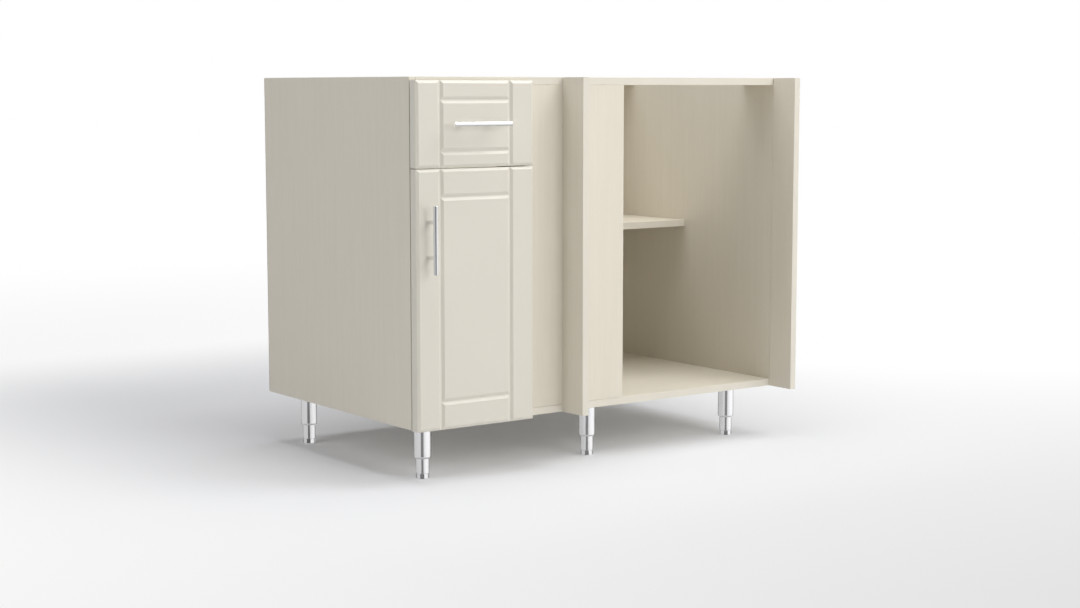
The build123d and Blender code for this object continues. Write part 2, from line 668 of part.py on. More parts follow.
def ball_cage(side, height, depth):
    """A strip of sheet that keeps a row of steel balls apart."""
    wall, way = runner_wall(side)
    middle = RUNNER_FRONT + RUNNER_LENGTH / 2
    depths = (depth - CAGE_WIDTH / 2, depth + CAGE_WIDTH / 2)
    heights = (height - CAGE_THICK / 2, height + CAGE_THICK / 2)
    runner_box(side, depths, heights, middle - CAGE_LENGTH / 2, CAGE_LENGTH)
    pitch = CAGE_LENGTH / CAGE_BALLS
    for i in range(CAGE_BALLS):
        y = middle + (i - (CAGE_BALLS - 1) / 2) * pitch
        with Locations(at(wall + way * depth, y, RUNNER_HEIGHT + height)):
            Sphere(BALL_RADIUS)


for side, cabinet_seats, box_seats, way in (
    ("left", left_runner_seats, left_box_seats, LEFT),
    ("right", right_runner_seats, right_box_seats, RIGHT),
):
    with BuildPart() as cabinet_member:
        channel(side, (0, SHEET), (0, 10.5), 22.5)
        for heights in ((-21.5, -20.3), (20.3, 21.5)):
            runner_box(side, (9.5, 10.5), heights)
        for seat in cabinet_seats:
            hole(seat, way, SCREW_RADIUS, SHEET)
    save(cabinet_member.part, f"{side}_runner_cabinet_member")
    with BuildPart() as middle_member:
        channel(side, (3.6, 3.6 + SHEET), (3.6, 11.0), 18.1)
    save(middle_member.part, f"{side}_runner_middle_member")
    with BuildPart() as drawer_member:
        channel(side, (RUNNER_THICK - SHEET, RUNNER_THICK), (5.5, RUNNER_THICK), 13.7)
        for seat in box_seats:
            hole(seat, -way, SCREW_RADIUS, SHEET)
    save(drawer_member.part, f"{side}_runner_drawer_member")

for name, height, depth in (("runner_outer_bearings", 19.7, 7.2), ("runner_inner_bearings", 15.3, 8.2)):
    with BuildPart() as cages:
        for side in ("left", "right"):
            for sign in (-1, 1):
                ball_cage(side, sign * height, depth)
    save(cages.part, name)


# Concealed hinges. The arm's goose neck reaches round the door's edge into the cup, and turns on
# a steel pin that is fixed across the cup.
def hinge_cup(z):
    """A cup with a slot for the arm, a mounting wing and the pin's bore."""
    bottom = -FRONT_GAP - CUP_DEPTH
    rod((CUP_X, bottom, z), IN, CUP_RADIUS, CUP_DEPTH)
    slab((WING_LEFT, -FRONT_GAP, z - WING_HALF), (PIN_X - 0.9, WING_THICK - FRONT_GAP, z + WING_HALF))
    slab((256, bottom + CUP_FLOOR, z - 5.4), (CUP_X + 20, 0, z + 5.4), Mode.SUBTRACT)
    hole((PIN_X, PIN_Y, z - PIN_HALF), UP, PIN_RADIUS, 2 * PIN_HALF)
    for dz in cup_screw_rises:
        hole((CUP_SCREW_X, WING_THICK - FRONT_GAP, z + dz), OUT, SCREW_RADIUS, WING_THICK)


def hinge_arm(z):
    """A channel over the mounting plate that ends in the goose neck and the pin's eye."""
    low, high = z - NECK_HALF, z + NECK_HALF
    slab((NECK_LEFT, ARM_FRONT, z - ARM_HALF), (NECK_RIGHT, ARM_BACK, z + ARM_HALF))
    for wall in (z - ARM_HALF, z + ARM_HALF - ARM_WALL):
        slab((NECK_RIGHT, ARM_FRONT + 3, wall), (STILE_LEFT - 3, ARM_BACK, wall + ARM_WALL))
    with BuildSketch(Plane(origin=at(0, 0, low))) as neck:
        with BuildLine():
            Polyline(
                (NECK_LEFT, ARM_FRONT + 1),
                (NECK_LEFT, PIN_Y - 2.2),
                (PIN_X, PIN_Y - 1.4),
                (PIN_X, PIN_Y + 1.1),
                (NECK_RIGHT, PIN_Y + 0.3),
                (NECK_RIGHT, ARM_FRONT + 1),
                close=True,
            )
        make_face()
    extrude(neck.sketch, amount=high - low)
    rod((PIN_X, PIN_Y, low), UP, EYE_RADIUS, high - low)
    hole((PIN_X, PIN_Y, low - 1), UP, PIN_RADIUS + 0.05, high - low + 2)


def hinge_plate(z):
    """A winged plate screwed to the stile, with the rib that the arm clips over."""
    slab((STILE_LEFT - PLATE_THICK, 28, z - 24), (STILE_LEFT, 46, z + 24))
    slab((NECK_RIGHT, 16, z - 6), (STILE_LEFT, 60, z + 6))
    for dz in plate_screw_rises:
        hole((STILE_LEFT - 3, PLATE_SCREW_Y, z + dz), RIGHT, SCREW_RADIUS, 4.0)


for name, z in zip(("lower", "upper"), HINGE_HEIGHTS):
    with BuildPart() as cup:
        hinge_cup(z)
    save(cup.part, f"{name}_hinge_cup")
    with BuildPart() as arm:
        hinge_arm(z)
    save(arm.part, f"{name}_hinge_arm")
    with BuildPart() as plate:
        hinge_plate(z)
    save(plate.part, f"{name}_hinge_plate")

with BuildPart() as hinge_pins:
    for z in HINGE_HEIGHTS:
        rod((PIN_X, PIN_Y, z - PIN_HALF), UP, PIN_RADIUS, 2 * PIN_HALF)
save(hinge_pins.part, "hinge_pins")

with BuildPart() as hinge_cup_screws:
    for seat in cup_screw_seats:
        pan_screw(seat, OUT, CUP_SCREW_LENGTH)
save(hinge_cup_screws.part, "hinge_cup_screws")

with BuildPart() as door_bumpers:
    for z in (DOOR_BOTTOM + BUMPER_INSET, DOOR_TOP - BUMPER_INSET):
        rod((BUMPER_X, -FRONT_GAP, z), IN, BUMPER_RADIUS, FRONT_GAP - 0.1)
save(door_bumpers.part, "door_bumpers")
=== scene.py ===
import math

import bmesh
import bpy
import numpy as np
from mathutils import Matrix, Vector


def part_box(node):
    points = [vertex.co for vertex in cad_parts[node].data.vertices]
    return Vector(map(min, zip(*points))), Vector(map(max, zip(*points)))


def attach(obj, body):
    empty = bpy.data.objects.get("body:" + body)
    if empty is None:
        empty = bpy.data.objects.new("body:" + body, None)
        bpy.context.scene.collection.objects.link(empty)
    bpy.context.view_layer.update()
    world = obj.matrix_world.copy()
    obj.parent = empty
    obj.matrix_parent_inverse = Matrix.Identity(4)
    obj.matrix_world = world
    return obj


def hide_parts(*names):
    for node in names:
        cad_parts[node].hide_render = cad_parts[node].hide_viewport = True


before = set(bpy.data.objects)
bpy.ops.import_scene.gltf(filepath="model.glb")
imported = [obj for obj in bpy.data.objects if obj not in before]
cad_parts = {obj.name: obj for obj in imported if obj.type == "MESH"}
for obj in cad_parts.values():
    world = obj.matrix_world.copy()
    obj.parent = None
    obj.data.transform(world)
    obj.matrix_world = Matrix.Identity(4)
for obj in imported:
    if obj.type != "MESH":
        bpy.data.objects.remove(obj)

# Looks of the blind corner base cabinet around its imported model. Blender works in metres. The shapes
# below are given in millimetres from the carcass's front lower left corner: X runs to the right
# along the front, Y to the back, Z up. The floor is at z = 0 of the scene.

MM = 0.001
CORNER = np.array(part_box("left_side_panel")[0])
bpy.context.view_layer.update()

# Boards: their thickness, the carcass's width, the left face of the hinge stile and the partition
# above it, the radii of the eased edges and corners, and the hair gap at a joint
BOARD = 16.0
CARCASS_WIDTH = 1010.0
RIGHT_WALL = CARCASS_WIDTH - BOARD
STILE_LEFT = 284.0
ARRIS = 0.5
CORNER_ROUND = 0.8
JOINT = 0.35

# Cams, pegs and holes
CAM_DISTANCE = 24.0
CAM_RADIUS = 7.55
CAM_HEIGHT = 12.5
CAM_PLAY = 0.1
BOTTOM_CAM_YS = (60.0, 556.0)
WORKTOP_HOLE = 2.5
WORKTOP_HOLE_XS = (60.0, 950.0)
PEG_YS = (340.0, 590.0)

# Screws with sunk heads: how deep the head is seated, its size, and how much larger its hole is
BACK_SCREW = {"length": 20, "seat": 1.75, "radius": 3.2, "height": 1.65, "shank": 1.5, "play": 0.15}
STRIP_SCREW = {"length": 37, "seat": 1.8, "radius": 3.2, "height": 1.65, "shank": 2.0, "play": 0.1}
BOX_SCREW = {"length": 33, "seat": 1.95, "radius": 3.45, "height": 1.75, "shank": 1.75, "play": 0.15}
SUNK_CROWN = 0.1

# Lengths of the other screws, and where screws sit
LEG_SCREW_LENGTH = 17.0
RUNNER_SCREW_LENGTH = 12.0
BOX_RUNNER_SCREW_LENGTH = 13.0
PLATE_SCREW_LENGTH = 14.0
CUP_SCREW_LENGTH = 12.0
FRONT_SCREW_LENGTH = 30.0
FRONT_SCREWS = [(x, z) for x in (75.0, 225.0) for z in (592.0, 650.0)]
STRIP_SCREW_X = 393.6
STRIP_SCREW_ZS = (100.0, 360.0, 620.0)
BOX_SCREWS = [(y, z) for y in (6.0, 490.0) for z in (582.0, 656.0)]

# The back panel's screws: down both sides, along its foot and head, and one into the partition
BACK_SCREWS = [(x, z) for x in (8.0, 1002.0) for z in (40.0, 200.0, 360.0, 520.0, 680.0)]
BACK_SCREWS += [(x, z) for x in (200.0, 400.0, 610.0, 810.0) for z in (8.0, 712.0)]
BACK_SCREWS.append((292.0, 617.0))

# Moulded fronts: depths and widths of the edge bevel and of the vee grooves
BEVEL_WIDTH = 6.0
BEVEL_DEPTH = 3.5
BACK_BEVEL = 0.2
GROOVE_FLOOR = 1.0
GROOVE_XS = (59.5, 231.4)
DOOR_GROOVE_ZS = (56.0, 476.5)
DRAWER_GROOVE_ZS = (569.2, 673.3)

# Hinge cups
CUP_X = 270.8
CUP_BORE = 17.55
CUP_DEPTH = 13.5
CUP_SCREW_X = 261.3
CUP_SCREW_RISE = 22.5

# Handles
BAR_RADIUS = 5.5
BAR_REACH = 27.0
DRAWER_HANDLE = (145.2, 624.6)
DOOR_HANDLE = (29.2, 392.0)
POST_RADIUS = 4.0
POST_SPACING = 72.0
POST_LENGTH = 18.0
POST_SINK = 0.3
THREAD_REACH = 10.0

# Legs, measured from the carcass's underside
TUBE_RADIUS = 18.0
TUBE_BOTTOM = 73.5
SHOULDER = 6.0
COLLAR_RADIUS = 20.0
COLLAR_BOTTOM = 5.0
FOOT_RADIUS = 14.0
FOOT_TOP = 36.0
CAP_SEAM = 105.0
CAP_FLATS = 10
FLANGE_HALF = 30.0
FLANGE_THICK = 3.0
LEG_SCREW_REACH = 22.0
LEGS = [f"{row}_{column}" for row in ("front", "back") for column in ("left", "middle", "right")]


# Shapes worked out as whole arrays

def place(points):
    """Scene points in metres: the carcass's corner plus a thousandth of each point in millimetres."""
    return CORNER + MM * np.asarray(points, float)


def span(node):
    """The lowest and highest corner of a node of the model, in millimetres from the carcass's corner."""
    return tuple((np.array(corner) - CORNER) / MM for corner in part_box(node))


def middle_of(node):
    """The middle of a node's box."""
    low, high = span(node)
    return (low + high) / 2


def eased(points, radii, steps=5):
    """A bent line whose inner corners become arcs. Each arc touches both legs at radius divided by
    the tangent of half the corner's angle, and its points go round the arc's centre at even angles."""
    points = np.asarray(points, float)
    line = [points[0]]
    for before, corner, after, radius in zip(points, points[1:], points[2:], radii):
        a = (before - corner) / np.linalg.norm(before - corner)
        b = (after - corner) / np.linalg.norm(after - corner)
        half = math.acos(np.clip(a @ b, -1, 1)) / 2
        middle = (a + b) / np.linalg.norm(a + b)
        centre = corner + middle * radius / math.sin(half)
        start = corner + a * radius / math.tan(half) - centre
        end = corner + b * radius / math.tan(half) - centre
        t = np.linspace(0, 1, steps)[:, None]
        turn = math.pi - 2 * half
        arc = (start * np.sin((1 - t) * turn) + end * np.sin(t * turn)) / math.sin(turn)
        line += list(centre + arc)
    return np.array(line + [points[-1]])


def rounded_rectangle(half_width, half_height, radius, steps=4):
    """A closed outline: the four corner centres, each plus its radius times the cosine and sine of a
    quarter turn of even angles."""
    quarter = np.linspace(0, math.pi / 2, steps)
    angles = np.concatenate([quarter + k * math.pi / 2 for k in range(4)])
    signs = np.repeat([(1, 1), (-1, 1), (-1, -1), (1, -1)], steps, axis=0)
    middles = signs * (half_width - radius, half_height - radius)
    return middles + radius * np.stack([np.cos(angles), np.sin(angles)], axis=1)


def skin(rings, first_cap=True, last_cap=True):
    """The surface over a stack of closed rings: point i of ring k is joined by a quad to point i + 1
    and to the same two points of ring k + 1, and the first and last ring may be filled."""
    count, size = rings.shape[:2]
    index = np.arange(count * size).reshape(count, size)
    after = np.roll(index, -1, axis=1)
    quads = np.stack([index[:-1], after[:-1], after[1:], index[1:]], axis=-1).reshape(-1, 4)
    faces = quads.tolist()
    if first_cap:
        faces.append(index[0][::-1].tolist())
    if last_cap:
        faces.append(index[-1].tolist())
    return rings.reshape(-1, 3), faces


def axes_of(direction):
    """Three unit vectors: two that lie across a direction, and the direction."""
    w = np.asarray(direction, float)
    w = w / np.linalg.norm(w)
    u = np.cross((0, 1, 0) if abs(w[2]) > 0.9 else (0, 0, 1), w)
    u = u / np.linalg.norm(u)
    return u, np.cross(w, u), w


def turned(profile, base, direction, segments=48, shape=None):
    """A turned form: every (radius, height) of the profile goes round the axis as radius times
    cosine and sine, and stands at base plus height along the direction. A shape, where given, is a
    factor on the radius for each angle."""
    u, v, w = axes_of(direction)
    angles = np.arange(segments) * 2 * math.pi / segments
    factor = np.ones(segments) if shape is None else shape(angles)
    profile = np.asarray(profile, float)
    around = np.cos(angles)[:, None] * u + np.sin(angles)[:, None] * v
    rings = profile[:, :1, None] * (factor[:, None] * around)[None] + profile[:, 1:, None] * w
    return skin(rings + np.asarray(base, float))


def eased_rims(low, high, arris, steps):
    """How far an outline shrinks, and where it lies, from one face of a sheet to the other. At each
    even angle of a quarter turn it shrinks by the radius times (1 - sine) and lies in from the face
    by the radius times (1 - cosine). The other side mirrors it."""
    angles = np.linspace(0, math.pi / 2, steps)
    insets = arris * (1 - np.sin(angles))
    depths = arris * (1 - np.cos(angles))
    return np.concatenate([insets, insets[::-1]]), np.concatenate([low + depths, high - depths[::-1]])


def slab(low, high, arris=ARRIS, corner=CORNER_ROUND, steps=4, finishes=(1, 0, 0)):
    """A sheet with eased edges: a rounded rectangle carried through its thickness. The finishes are
    the rim's, the near face's and the far face's."""
    low, high = np.asarray(low, float), np.asarray(high, float)
    size = high - low
    thin = int(np.argmin(size))
    across, along = [axis for axis in range(3) if axis != thin]
    rings = []
    for inset, depth in zip(*eased_rims(low[thin], high[thin], arris, steps)):
        outline = rounded_rectangle(
            size[across] / 2 - inset, size[along] / 2 - inset, max(corner - inset, 0.05)
        )
        ring = np.empty((len(outline), 3))
        ring[:, across] = outline[:, 0] + (low + high)[across] / 2
        ring[:, along] = outline[:, 1] + (low + high)[along] / 2
        ring[:, thin] = depth
        rings.append(ring)
    points, faces = skin(np.array(rings))
    rim, near, far = finishes
    return points, faces, [rim] * (len(faces) - 2) + [near, far]


def prism(outline, axes, low, high, arris=0.3, steps=3):
    """A closed outline carried along the third axis, with eased rims. Each ring is the outline moved
    in along its own normals."""
    outline = np.asarray(outline, float)
    tangent = np.roll(outline, -1, axis=0) - np.roll(outline, 1, axis=0)
    normal = np.stack([-tangent[:, 1], tangent[:, 0]], axis=1)
    normal /= np.linalg.norm(normal, axis=1)[:, None]
    after = np.roll(outline, -1, axis=0)
    if np.sum(outline[:, 0] * after[:, 1] - after[:, 0] * outline[:, 1]) < 0:
        normal = -normal
    insets, depths = eased_rims(low, high, arris, steps)
    rings = np.empty((len(depths), len(outline), 3))
    rings[:, :, list(axes)] = outline + insets[:, None, None] * normal
    rings[:, :, 3 - sum(axes)] = depths[:, None]
    return skin(rings)


def closed(points, radius, steps=4):
    """A closed outline with every corner eased by the same radius."""
    wrapped = [points[-1], *points, points[0]]
    return eased(wrapped, [radius] * len(points), steps)[1:-1]


def stadium(y, z, half_length, radius):
    """The outline of a slot with round ends."""
    return rounded_rectangle(half_length, radius, radius - 0.01, 7) + (y, z)


def cross_head(seat, outward, radius, height, crown=0.4, shank=(), recess=1.1):
    """A head with a cross recess. Going round the axis, the recess's radius is the arm's length over
    the cosine of the angle from the nearest arm, and past the arm's corner its half width over the
    sine. The rings climb its walls, cross to a circle, follow a quarter ellipse down the crown to the
    rim, and go on down the shank."""
    arm, half = 0.58 * radius, 0.13 * radius
    corner = math.atan(half / arm)
    # One more angle between each arm and the diagonal keeps the rim round
    bow = 0.42
    quarter = np.array([0, corner, bow, math.pi / 4, math.pi / 2 - bow, math.pi / 2 - corner])
    angles = np.concatenate([quarter + k * math.pi / 2 for k in range(4)])
    near = np.abs(np.mod(angles + math.pi / 4, math.pi / 2) - math.pi / 4)
    cross = np.where(near <= corner + 1e-6, arm / np.cos(near), half / np.sin(np.maximum(near, 1e-3)))
    t = np.linspace(0, math.pi / 2, 4)
    circle = np.ones(len(angles))
    radii = [0.7 * cross, cross]
    heights = [height - recess, height]
    radii += [circle * radius * (0.72 + 0.28 * math.sin(a)) for a in t]
    heights += [height * (1 - crown * (1 - math.cos(a))) for a in t]
    for ring_radius, depth in ((radius, 0.0), *shank):
        radii.append(circle * ring_radius)
        heights.append(-depth)
    u, v, w = axes_of(outward)
    around = np.cos(angles)[:, None] * u + np.sin(angles)[:, None] * v
    rings = np.array(radii)[:, :, None] * around[None] + np.array(heights)[:, None, None] * w
    return skin(rings + np.asarray(seat, float))


def screw(seat, outward, length, radius=3.2, height=1.8, shank=2.0, crown=0.4):
    """A screw: a cross head on its seat, and a shank that tapers to its tip."""
    tip = ((shank, 0.0), (shank, length - 2.5), (0.3, length))
    return cross_head(seat, outward, radius, height, crown, tip)


def sunk_screw(surface, outward, size):
    """A screw whose nearly flat head is seated below a surface."""
    seat = np.asarray(surface) - size["seat"] * np.asarray(outward)
    return screw(
        seat, outward, size["length"], size["radius"], size["height"], size["shank"], SUNK_CROWN
    )


def cylinder(base, direction, radius, length, segments=40):
    """A plain round cutter from a base point along a direction."""
    return turned([(radius, 0), (radius, length)], base, direction, segments)


def sunk_hole(surface, outward, size, segments=40):
    """The cutter for a sunk screw's head, from 1 mm outside the surface to a little below the seat."""
    base = np.asarray(surface) + np.asarray(outward)
    depth = 1 + size["seat"] + size["play"]
    return cylinder(base, -np.asarray(outward), size["radius"] + size["play"], depth, segments)


def make_mesh(name, parts):
    """One mesh of several parts. Each part is its points, its faces and, where it has them, the
    finish number of each face. Doubled points are merged and the faces turned outwards."""
    points, faces, finishes, start = [], [], [], 0
    for part in parts:
        points.append(np.asarray(part[0]))
        faces += [[start + i for i in face] for face in part[1]]
        finishes += list(part[2]) if len(part) > 2 else [0] * len(part[1])
        start += len(part[0])
    mesh = bpy.data.meshes.new(name)
    mesh.from_pydata(place(np.concatenate(points)).tolist(), [], faces)
    mesh.polygons.foreach_set("material_index", finishes)
    work = bmesh.new()
    work.from_mesh(mesh)
    bmesh.ops.remove_doubles(work, verts=work.verts, dist=1e-6)
    bmesh.ops.recalc_face_normals(work, faces=work.faces)
    work.to_mesh(mesh)
    work.free()
    return mesh


def cut(piece, parts):
    """Takes the parts out of a piece with an exact Boolean, and removes the cutter."""
    cutter = bpy.data.objects.new("cutter", make_mesh("cutter", parts))
    bpy.context.collection.objects.link(cutter)
    boolean = piece.modifiers.new("cut", "BOOLEAN")
    boolean.operation = "DIFFERENCE"
    boolean.solver = "EXACT"
    boolean.object = cutter
    graph = bpy.context.evaluated_depsgraph_get()
    result = bpy.data.meshes.new_from_object(piece.evaluated_get(graph))
    piece.modifiers.clear()
    piece.data = result
    bpy.data.objects.remove(cutter, do_unlink=True)


def add_piece(name, parts, finishes, body, node, holes=(), sharp=22.0):
    """Makes a piece of the object: its mesh, its holes, its finishes, smooth shading with crisp
    edges and the body that it rides on, and hides the node that it stands for."""
    piece = bpy.data.objects.new(name, make_mesh(name, parts))
    bpy.context.collection.objects.link(piece)
    for finish in finishes:
        piece.data.materials.append(finish)
    if holes:
        cut(piece, holes)
    mesh = piece.data
    mesh.polygons.foreach_set("use_smooth", [True] * len(mesh.polygons))
    mesh.set_sharp_from_angle(angle=math.radians(sharp))
    shading = piece.modifiers.new("even_shading", "WEIGHTED_NORMAL")
    shading.keep_sharp = True
    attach(piece, body)
    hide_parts(node)


# Materials

# The reach of a fine noise, of a soft patchy one, and of a value that uses its whole range
NOISE_REACH = (0.3, 0.7)
PATCH_REACH = (0.2, 0.8)
WHOLE = (0, 1)


def add_node(tree, kind, inputs=None, **settings):
    """A node with its settings, whose inputs are set to a value or linked from a socket."""
    node = tree.nodes.new(kind)
    for key, value in settings.items():
        setattr(node, key, value)
    for key, value in (inputs or {}).items():
        if isinstance(value, bpy.types.NodeSocket):
            tree.links.new(value, node.inputs[key])
        else:
            node.inputs[key].default_value = value
    return node


def add_group(name, outputs):
    """A shader node group that takes a vector. Returns the tree, that vector and its outlet."""
    tree = bpy.data.node_groups.new(name, "ShaderNodeTree")
    tree.interface.new_socket("Vector", in_out="INPUT", socket_type="NodeSocketVector")
    for label in outputs:
        tree.interface.new_socket(label, in_out="OUTPUT", socket_type="NodeSocketFloat")
    vector = tree.nodes.new("NodeGroupInput").outputs["Vector"]
    return tree, vector, tree.nodes.new("NodeGroupOutput").inputs


def linear(red, green, blue):
    """A colour given as it is seen, from 0 to 255, in the linear values that a shader takes."""
    seen = np.array((red, green, blue)) / 255
    return (*np.where(seen <= 0.04045, seen / 12.92, ((seen + 0.055) / 1.055) ** 2.4).tolist(), 1.0)


def noise(tree, vector, scale, detail, roughness=0.5):
    """The value of a noise texture."""
    inputs = {"Vector": vector, "Scale": scale, "Detail": detail, "Roughness": roughness}
    return add_node(tree, "ShaderNodeTexNoise", inputs).outputs["Fac"]


def compute(tree, operation, *values):
    """The result of a calculation on numbers or sockets."""
    return add_node(tree, "ShaderNodeMath", dict(enumerate(values)), operation=operation).outputs[0]


def compute_vector(tree, operation, *vectors):
    """The result of a calculation on vectors: a number for a length or a dot product."""
    node = add_node(tree, "ShaderNodeVectorMath", dict(enumerate(vectors)), operation=operation)
    return node.outputs["Value" if operation in ("LENGTH", "DOT_PRODUCT") else "Vector"]


def spread(tree, value, low, high, source=NOISE_REACH, curve="LINEAR"):
    """A value mapped from its reach, which is a noise's usual one unless given, to low..high."""
    inputs = {"Value": value, "From Min": source[0], "From Max": source[1], "To Min": low, "To Max": high}
    return add_node(tree, "ShaderNodeMapRange", inputs, interpolation_type=curve).outputs["Result"]


def mix_shaders(tree, factor, first, second):
    """A shader that goes from the first to the second by a value."""
    inputs = {0: factor, 1: first.outputs[0], 2: second.outputs[0]}
    return add_node(tree, "ShaderNodeMixShader", inputs)


def grain_group():
    """Printed wood grain: broad tones and fine pores from two noises on a stretched vector."""
    tree, vector, out = add_group("printed_grain", ("Tone", "Pore"))
    broad = noise(tree, vector, 0.35, 4.0, 0.6)
    fine = noise(tree, vector, 1.6, 5.0, 0.65)
    tree.links.new(spread(tree, broad, 0, 1), out["Tone"])
    tree.links.new(spread(tree, fine, 0, 1), out["Pore"])
    return tree


def handling_group():
    """Faint marks of handling: wide soft patches, and apart from them a fine mottle."""
    tree, vector, out = add_group("handling", ("Smudge", "Mottle"))
    wide, fine = noise(tree, vector, 7.0, 3.0), noise(tree, vector, 900.0, 2.0)
    tree.links.new(spread(tree, wide, 0, 1, PATCH_REACH), out["Smudge"])
    tree.links.new(spread(tree, fine, 0, 1), out["Mottle"])
    return tree


GRAIN = grain_group()
HANDLING = handling_group()


def new_material(name):
    """A material with its tree, its shader and the object's own coordinates."""
    material = bpy.data.materials.new(name)
    material.use_nodes = True
    tree = material.node_tree
    shader = tree.nodes["Principled BSDF"]
    coordinates = add_node(tree, "ShaderNodeTexCoord").outputs["Object"]
    return material, tree, shader, coordinates


def use_group(tree, group, vector):
    """The outputs of a shared effect placed in a material."""
    return add_node(tree, "ShaderNodeGroup", {"Vector": vector}, node_tree=group).outputs


def blend_colours(tree, factor, dark, light):
    """A colour between two, by a value."""
    inputs = {0: factor, 6: dark, 7: light}
    return add_node(tree, "ShaderNodeMix", inputs, data_type="RGBA").outputs[2]


def bump(tree, shader, height, strength, distance):
    """Raises the surface by a height through a Bump node."""
    inputs = {"Strength": strength, "Distance": distance, "Height": height}
    tree.links.new(add_node(tree, "ShaderNodeBump", inputs).outputs["Normal"], shader.inputs["Normal"])


def melamine(name, stretch, dark, light, roughness):
    """Printed melamine: grain stretched along the board in its colour and its relief, and soft marks
    of handling in its sheen."""
    material, tree, shader, coordinates = new_material(name)
    scaled = add_node(tree, "ShaderNodeMapping", {"Vector": coordinates, "Scale": stretch}).outputs[0]
    grain = use_group(tree, GRAIN, scaled)
    marks = use_group(tree, HANDLING, coordinates)
    figure = compute(tree, "MULTIPLY", compute(tree, "ADD", grain["Tone"], grain["Pore"]), 0.5)
    sheen = spread(tree, marks["Smudge"], roughness - 0.03, roughness + 0.04, WHOLE)
    tree.links.new(blend_colours(tree, figure, dark, light), shader.inputs["Base Color"])
    tree.links.new(sheen, shader.inputs["Roughness"])
    bump(tree, shader, grain["Pore"], 0.12, 0.00006)
    return material


# How much the grain's noises are squeezed across the grain and along it, and the three ways it runs
ACROSS, ALONG = 260.0, 9.0
UPRIGHT = (ACROSS, ACROSS, ALONG)
LYING = (ALONG, ACROSS, ACROSS)
DEEP = (ACROSS, ALONG, ACROSS)
BOARD_DARK, BOARD_LIGHT = linear(223, 216, 200), linear(229, 222, 207)
melamine_upright = melamine("melamine_upright", UPRIGHT, BOARD_DARK, BOARD_LIGHT, 0.5)
melamine_lying = melamine("melamine_lying", LYING, BOARD_DARK, BOARD_LIGHT, 0.5)
melamine_deep = melamine("melamine_deep", DEEP, BOARD_DARK, BOARD_LIGHT, 0.5)


def coated(name, dark, light, roughness, height=0.00004, coat=0.0, patches=0.028):
    """An even coating: a barely mottled colour, patches in its sheen and a fine skin texture."""
    material, tree, shader, coordinates = new_material(name)
    marks = use_group(tree, HANDLING, coordinates)
    sheen = spread(tree, marks["Smudge"], roughness - patches, roughness + patches, WHOLE)
    tree.links.new(blend_colours(tree, marks["Smudge"], dark, light), shader.inputs["Base Color"])
    tree.links.new(sheen, shader.inputs["Roughness"])
    shader.inputs["Coat Weight"].default_value = coat
    bump(tree, shader, marks["Mottle"], 0.1, height)
    return material


def metal(name, colour, roughness, height):
    """Bare or plated metal: its colour is nearly even, and soft patches vary its sheen."""
    material, tree, shader, coordinates = new_material(name)
    marks = use_group(tree, HANDLING, coordinates)
    dark = tuple(0.94 * value for value in colour[:3]) + (1.0,)
    sheen = spread(tree, marks["Smudge"], roughness * 0.8, roughness * 1.25, WHOLE)
    shader.inputs["Metallic"].default_value = 1.0
    tree.links.new(blend_colours(tree, marks["Smudge"], dark, colour), shader.inputs["Base Color"])
    tree.links.new(sheen, shader.inputs["Roughness"])
    bump(tree, shader, marks["Mottle"], 0.06, height)
    return material


FOIL_DARK, FOIL_LIGHT = linear(222.4, 217.4, 204.4), linear(223.6, 218.6, 205.6)
edge_band = coated("edge_band", linear(224, 218, 204), linear(228, 222, 208), 0.42)
front_foil = coated("front_foil", FOIL_DARK, FOIL_LIGHT, 0.3, patches=0.008)
chrome = metal("chrome", linear(243, 243, 244), 0.045, 0.000001)
zinc = metal("zinc", linear(196, 199, 204), 0.3, 0.00003)
chipboard_core = coated("chipboard_core", linear(150, 120, 86), linear(182, 152, 116), 0.85, 0.0004)
hardboard_painted = coated("hardboard_painted", linear(222, 216, 202), linear(226, 220, 206), 0.5)
hardboard_raw = coated("hardboard_raw", linear(104, 74, 50), linear(124, 92, 64), 0.78, 0.0002)
beech_wood = melamine("beech_wood", LYING, linear(186, 150, 104), linear(206, 172, 128), 0.6)
bumper_clear = coated("bumper_clear", linear(214, 216, 216), linear(222, 224, 224), 0.35, coat=0.4)


# Boards: each takes its box from the model

UPRIGHT_BOARDS = (
    "left_side_panel", "right_side_panel", "drawer_partition", "hinge_stile", "blind_panel",
    "corner_strip", "right_extension_strip",
)
CAM_BOARDS = ("bottom_panel", "front_top_rail", "back_top_rail")
BOARD_FINISH = dict.fromkeys(UPRIGHT_BOARDS, melamine_upright)
BOARD_FINISH |= dict.fromkeys((*CAM_BOARDS, "shelf"), melamine_lying)
DRAWER_BOARDS = {
    "drawer_left_side": melamine_deep,
    "drawer_right_side": melamine_deep,
    "drawer_inner_front": melamine_lying,
    "drawer_back": melamine_lying,
}


# Hair gaps at the joints that show: how far a board stops short at its low and its high corner
SIDE_GAPS = ((JOINT, 0, 0), (JOINT, 0, 0))
SHORT_ENDS = {
    "blind_panel": ((0, 0, JOINT), (0, 0, JOINT)),
    "right_extension_strip": ((0, 0, 0), (0, 1.6 * JOINT, 0)),
    "bottom_panel": SIDE_GAPS,
    "front_top_rail": SIDE_GAPS,
    "back_top_rail": SIDE_GAPS,
}


def cam_places(node):
    """Where the cam discs sit in the underside of a lying board: near both ends, in the middle of a
    rail and in two rows in the bottom panel."""
    low, high = span(node)
    ys = BOTTOM_CAM_YS if node == "bottom_panel" else (middle_of(node)[1],)
    return [(x, y, low[2]) for x in (low[0] + CAM_DISTANCE, high[0] - CAM_DISTANCE) for y in ys]


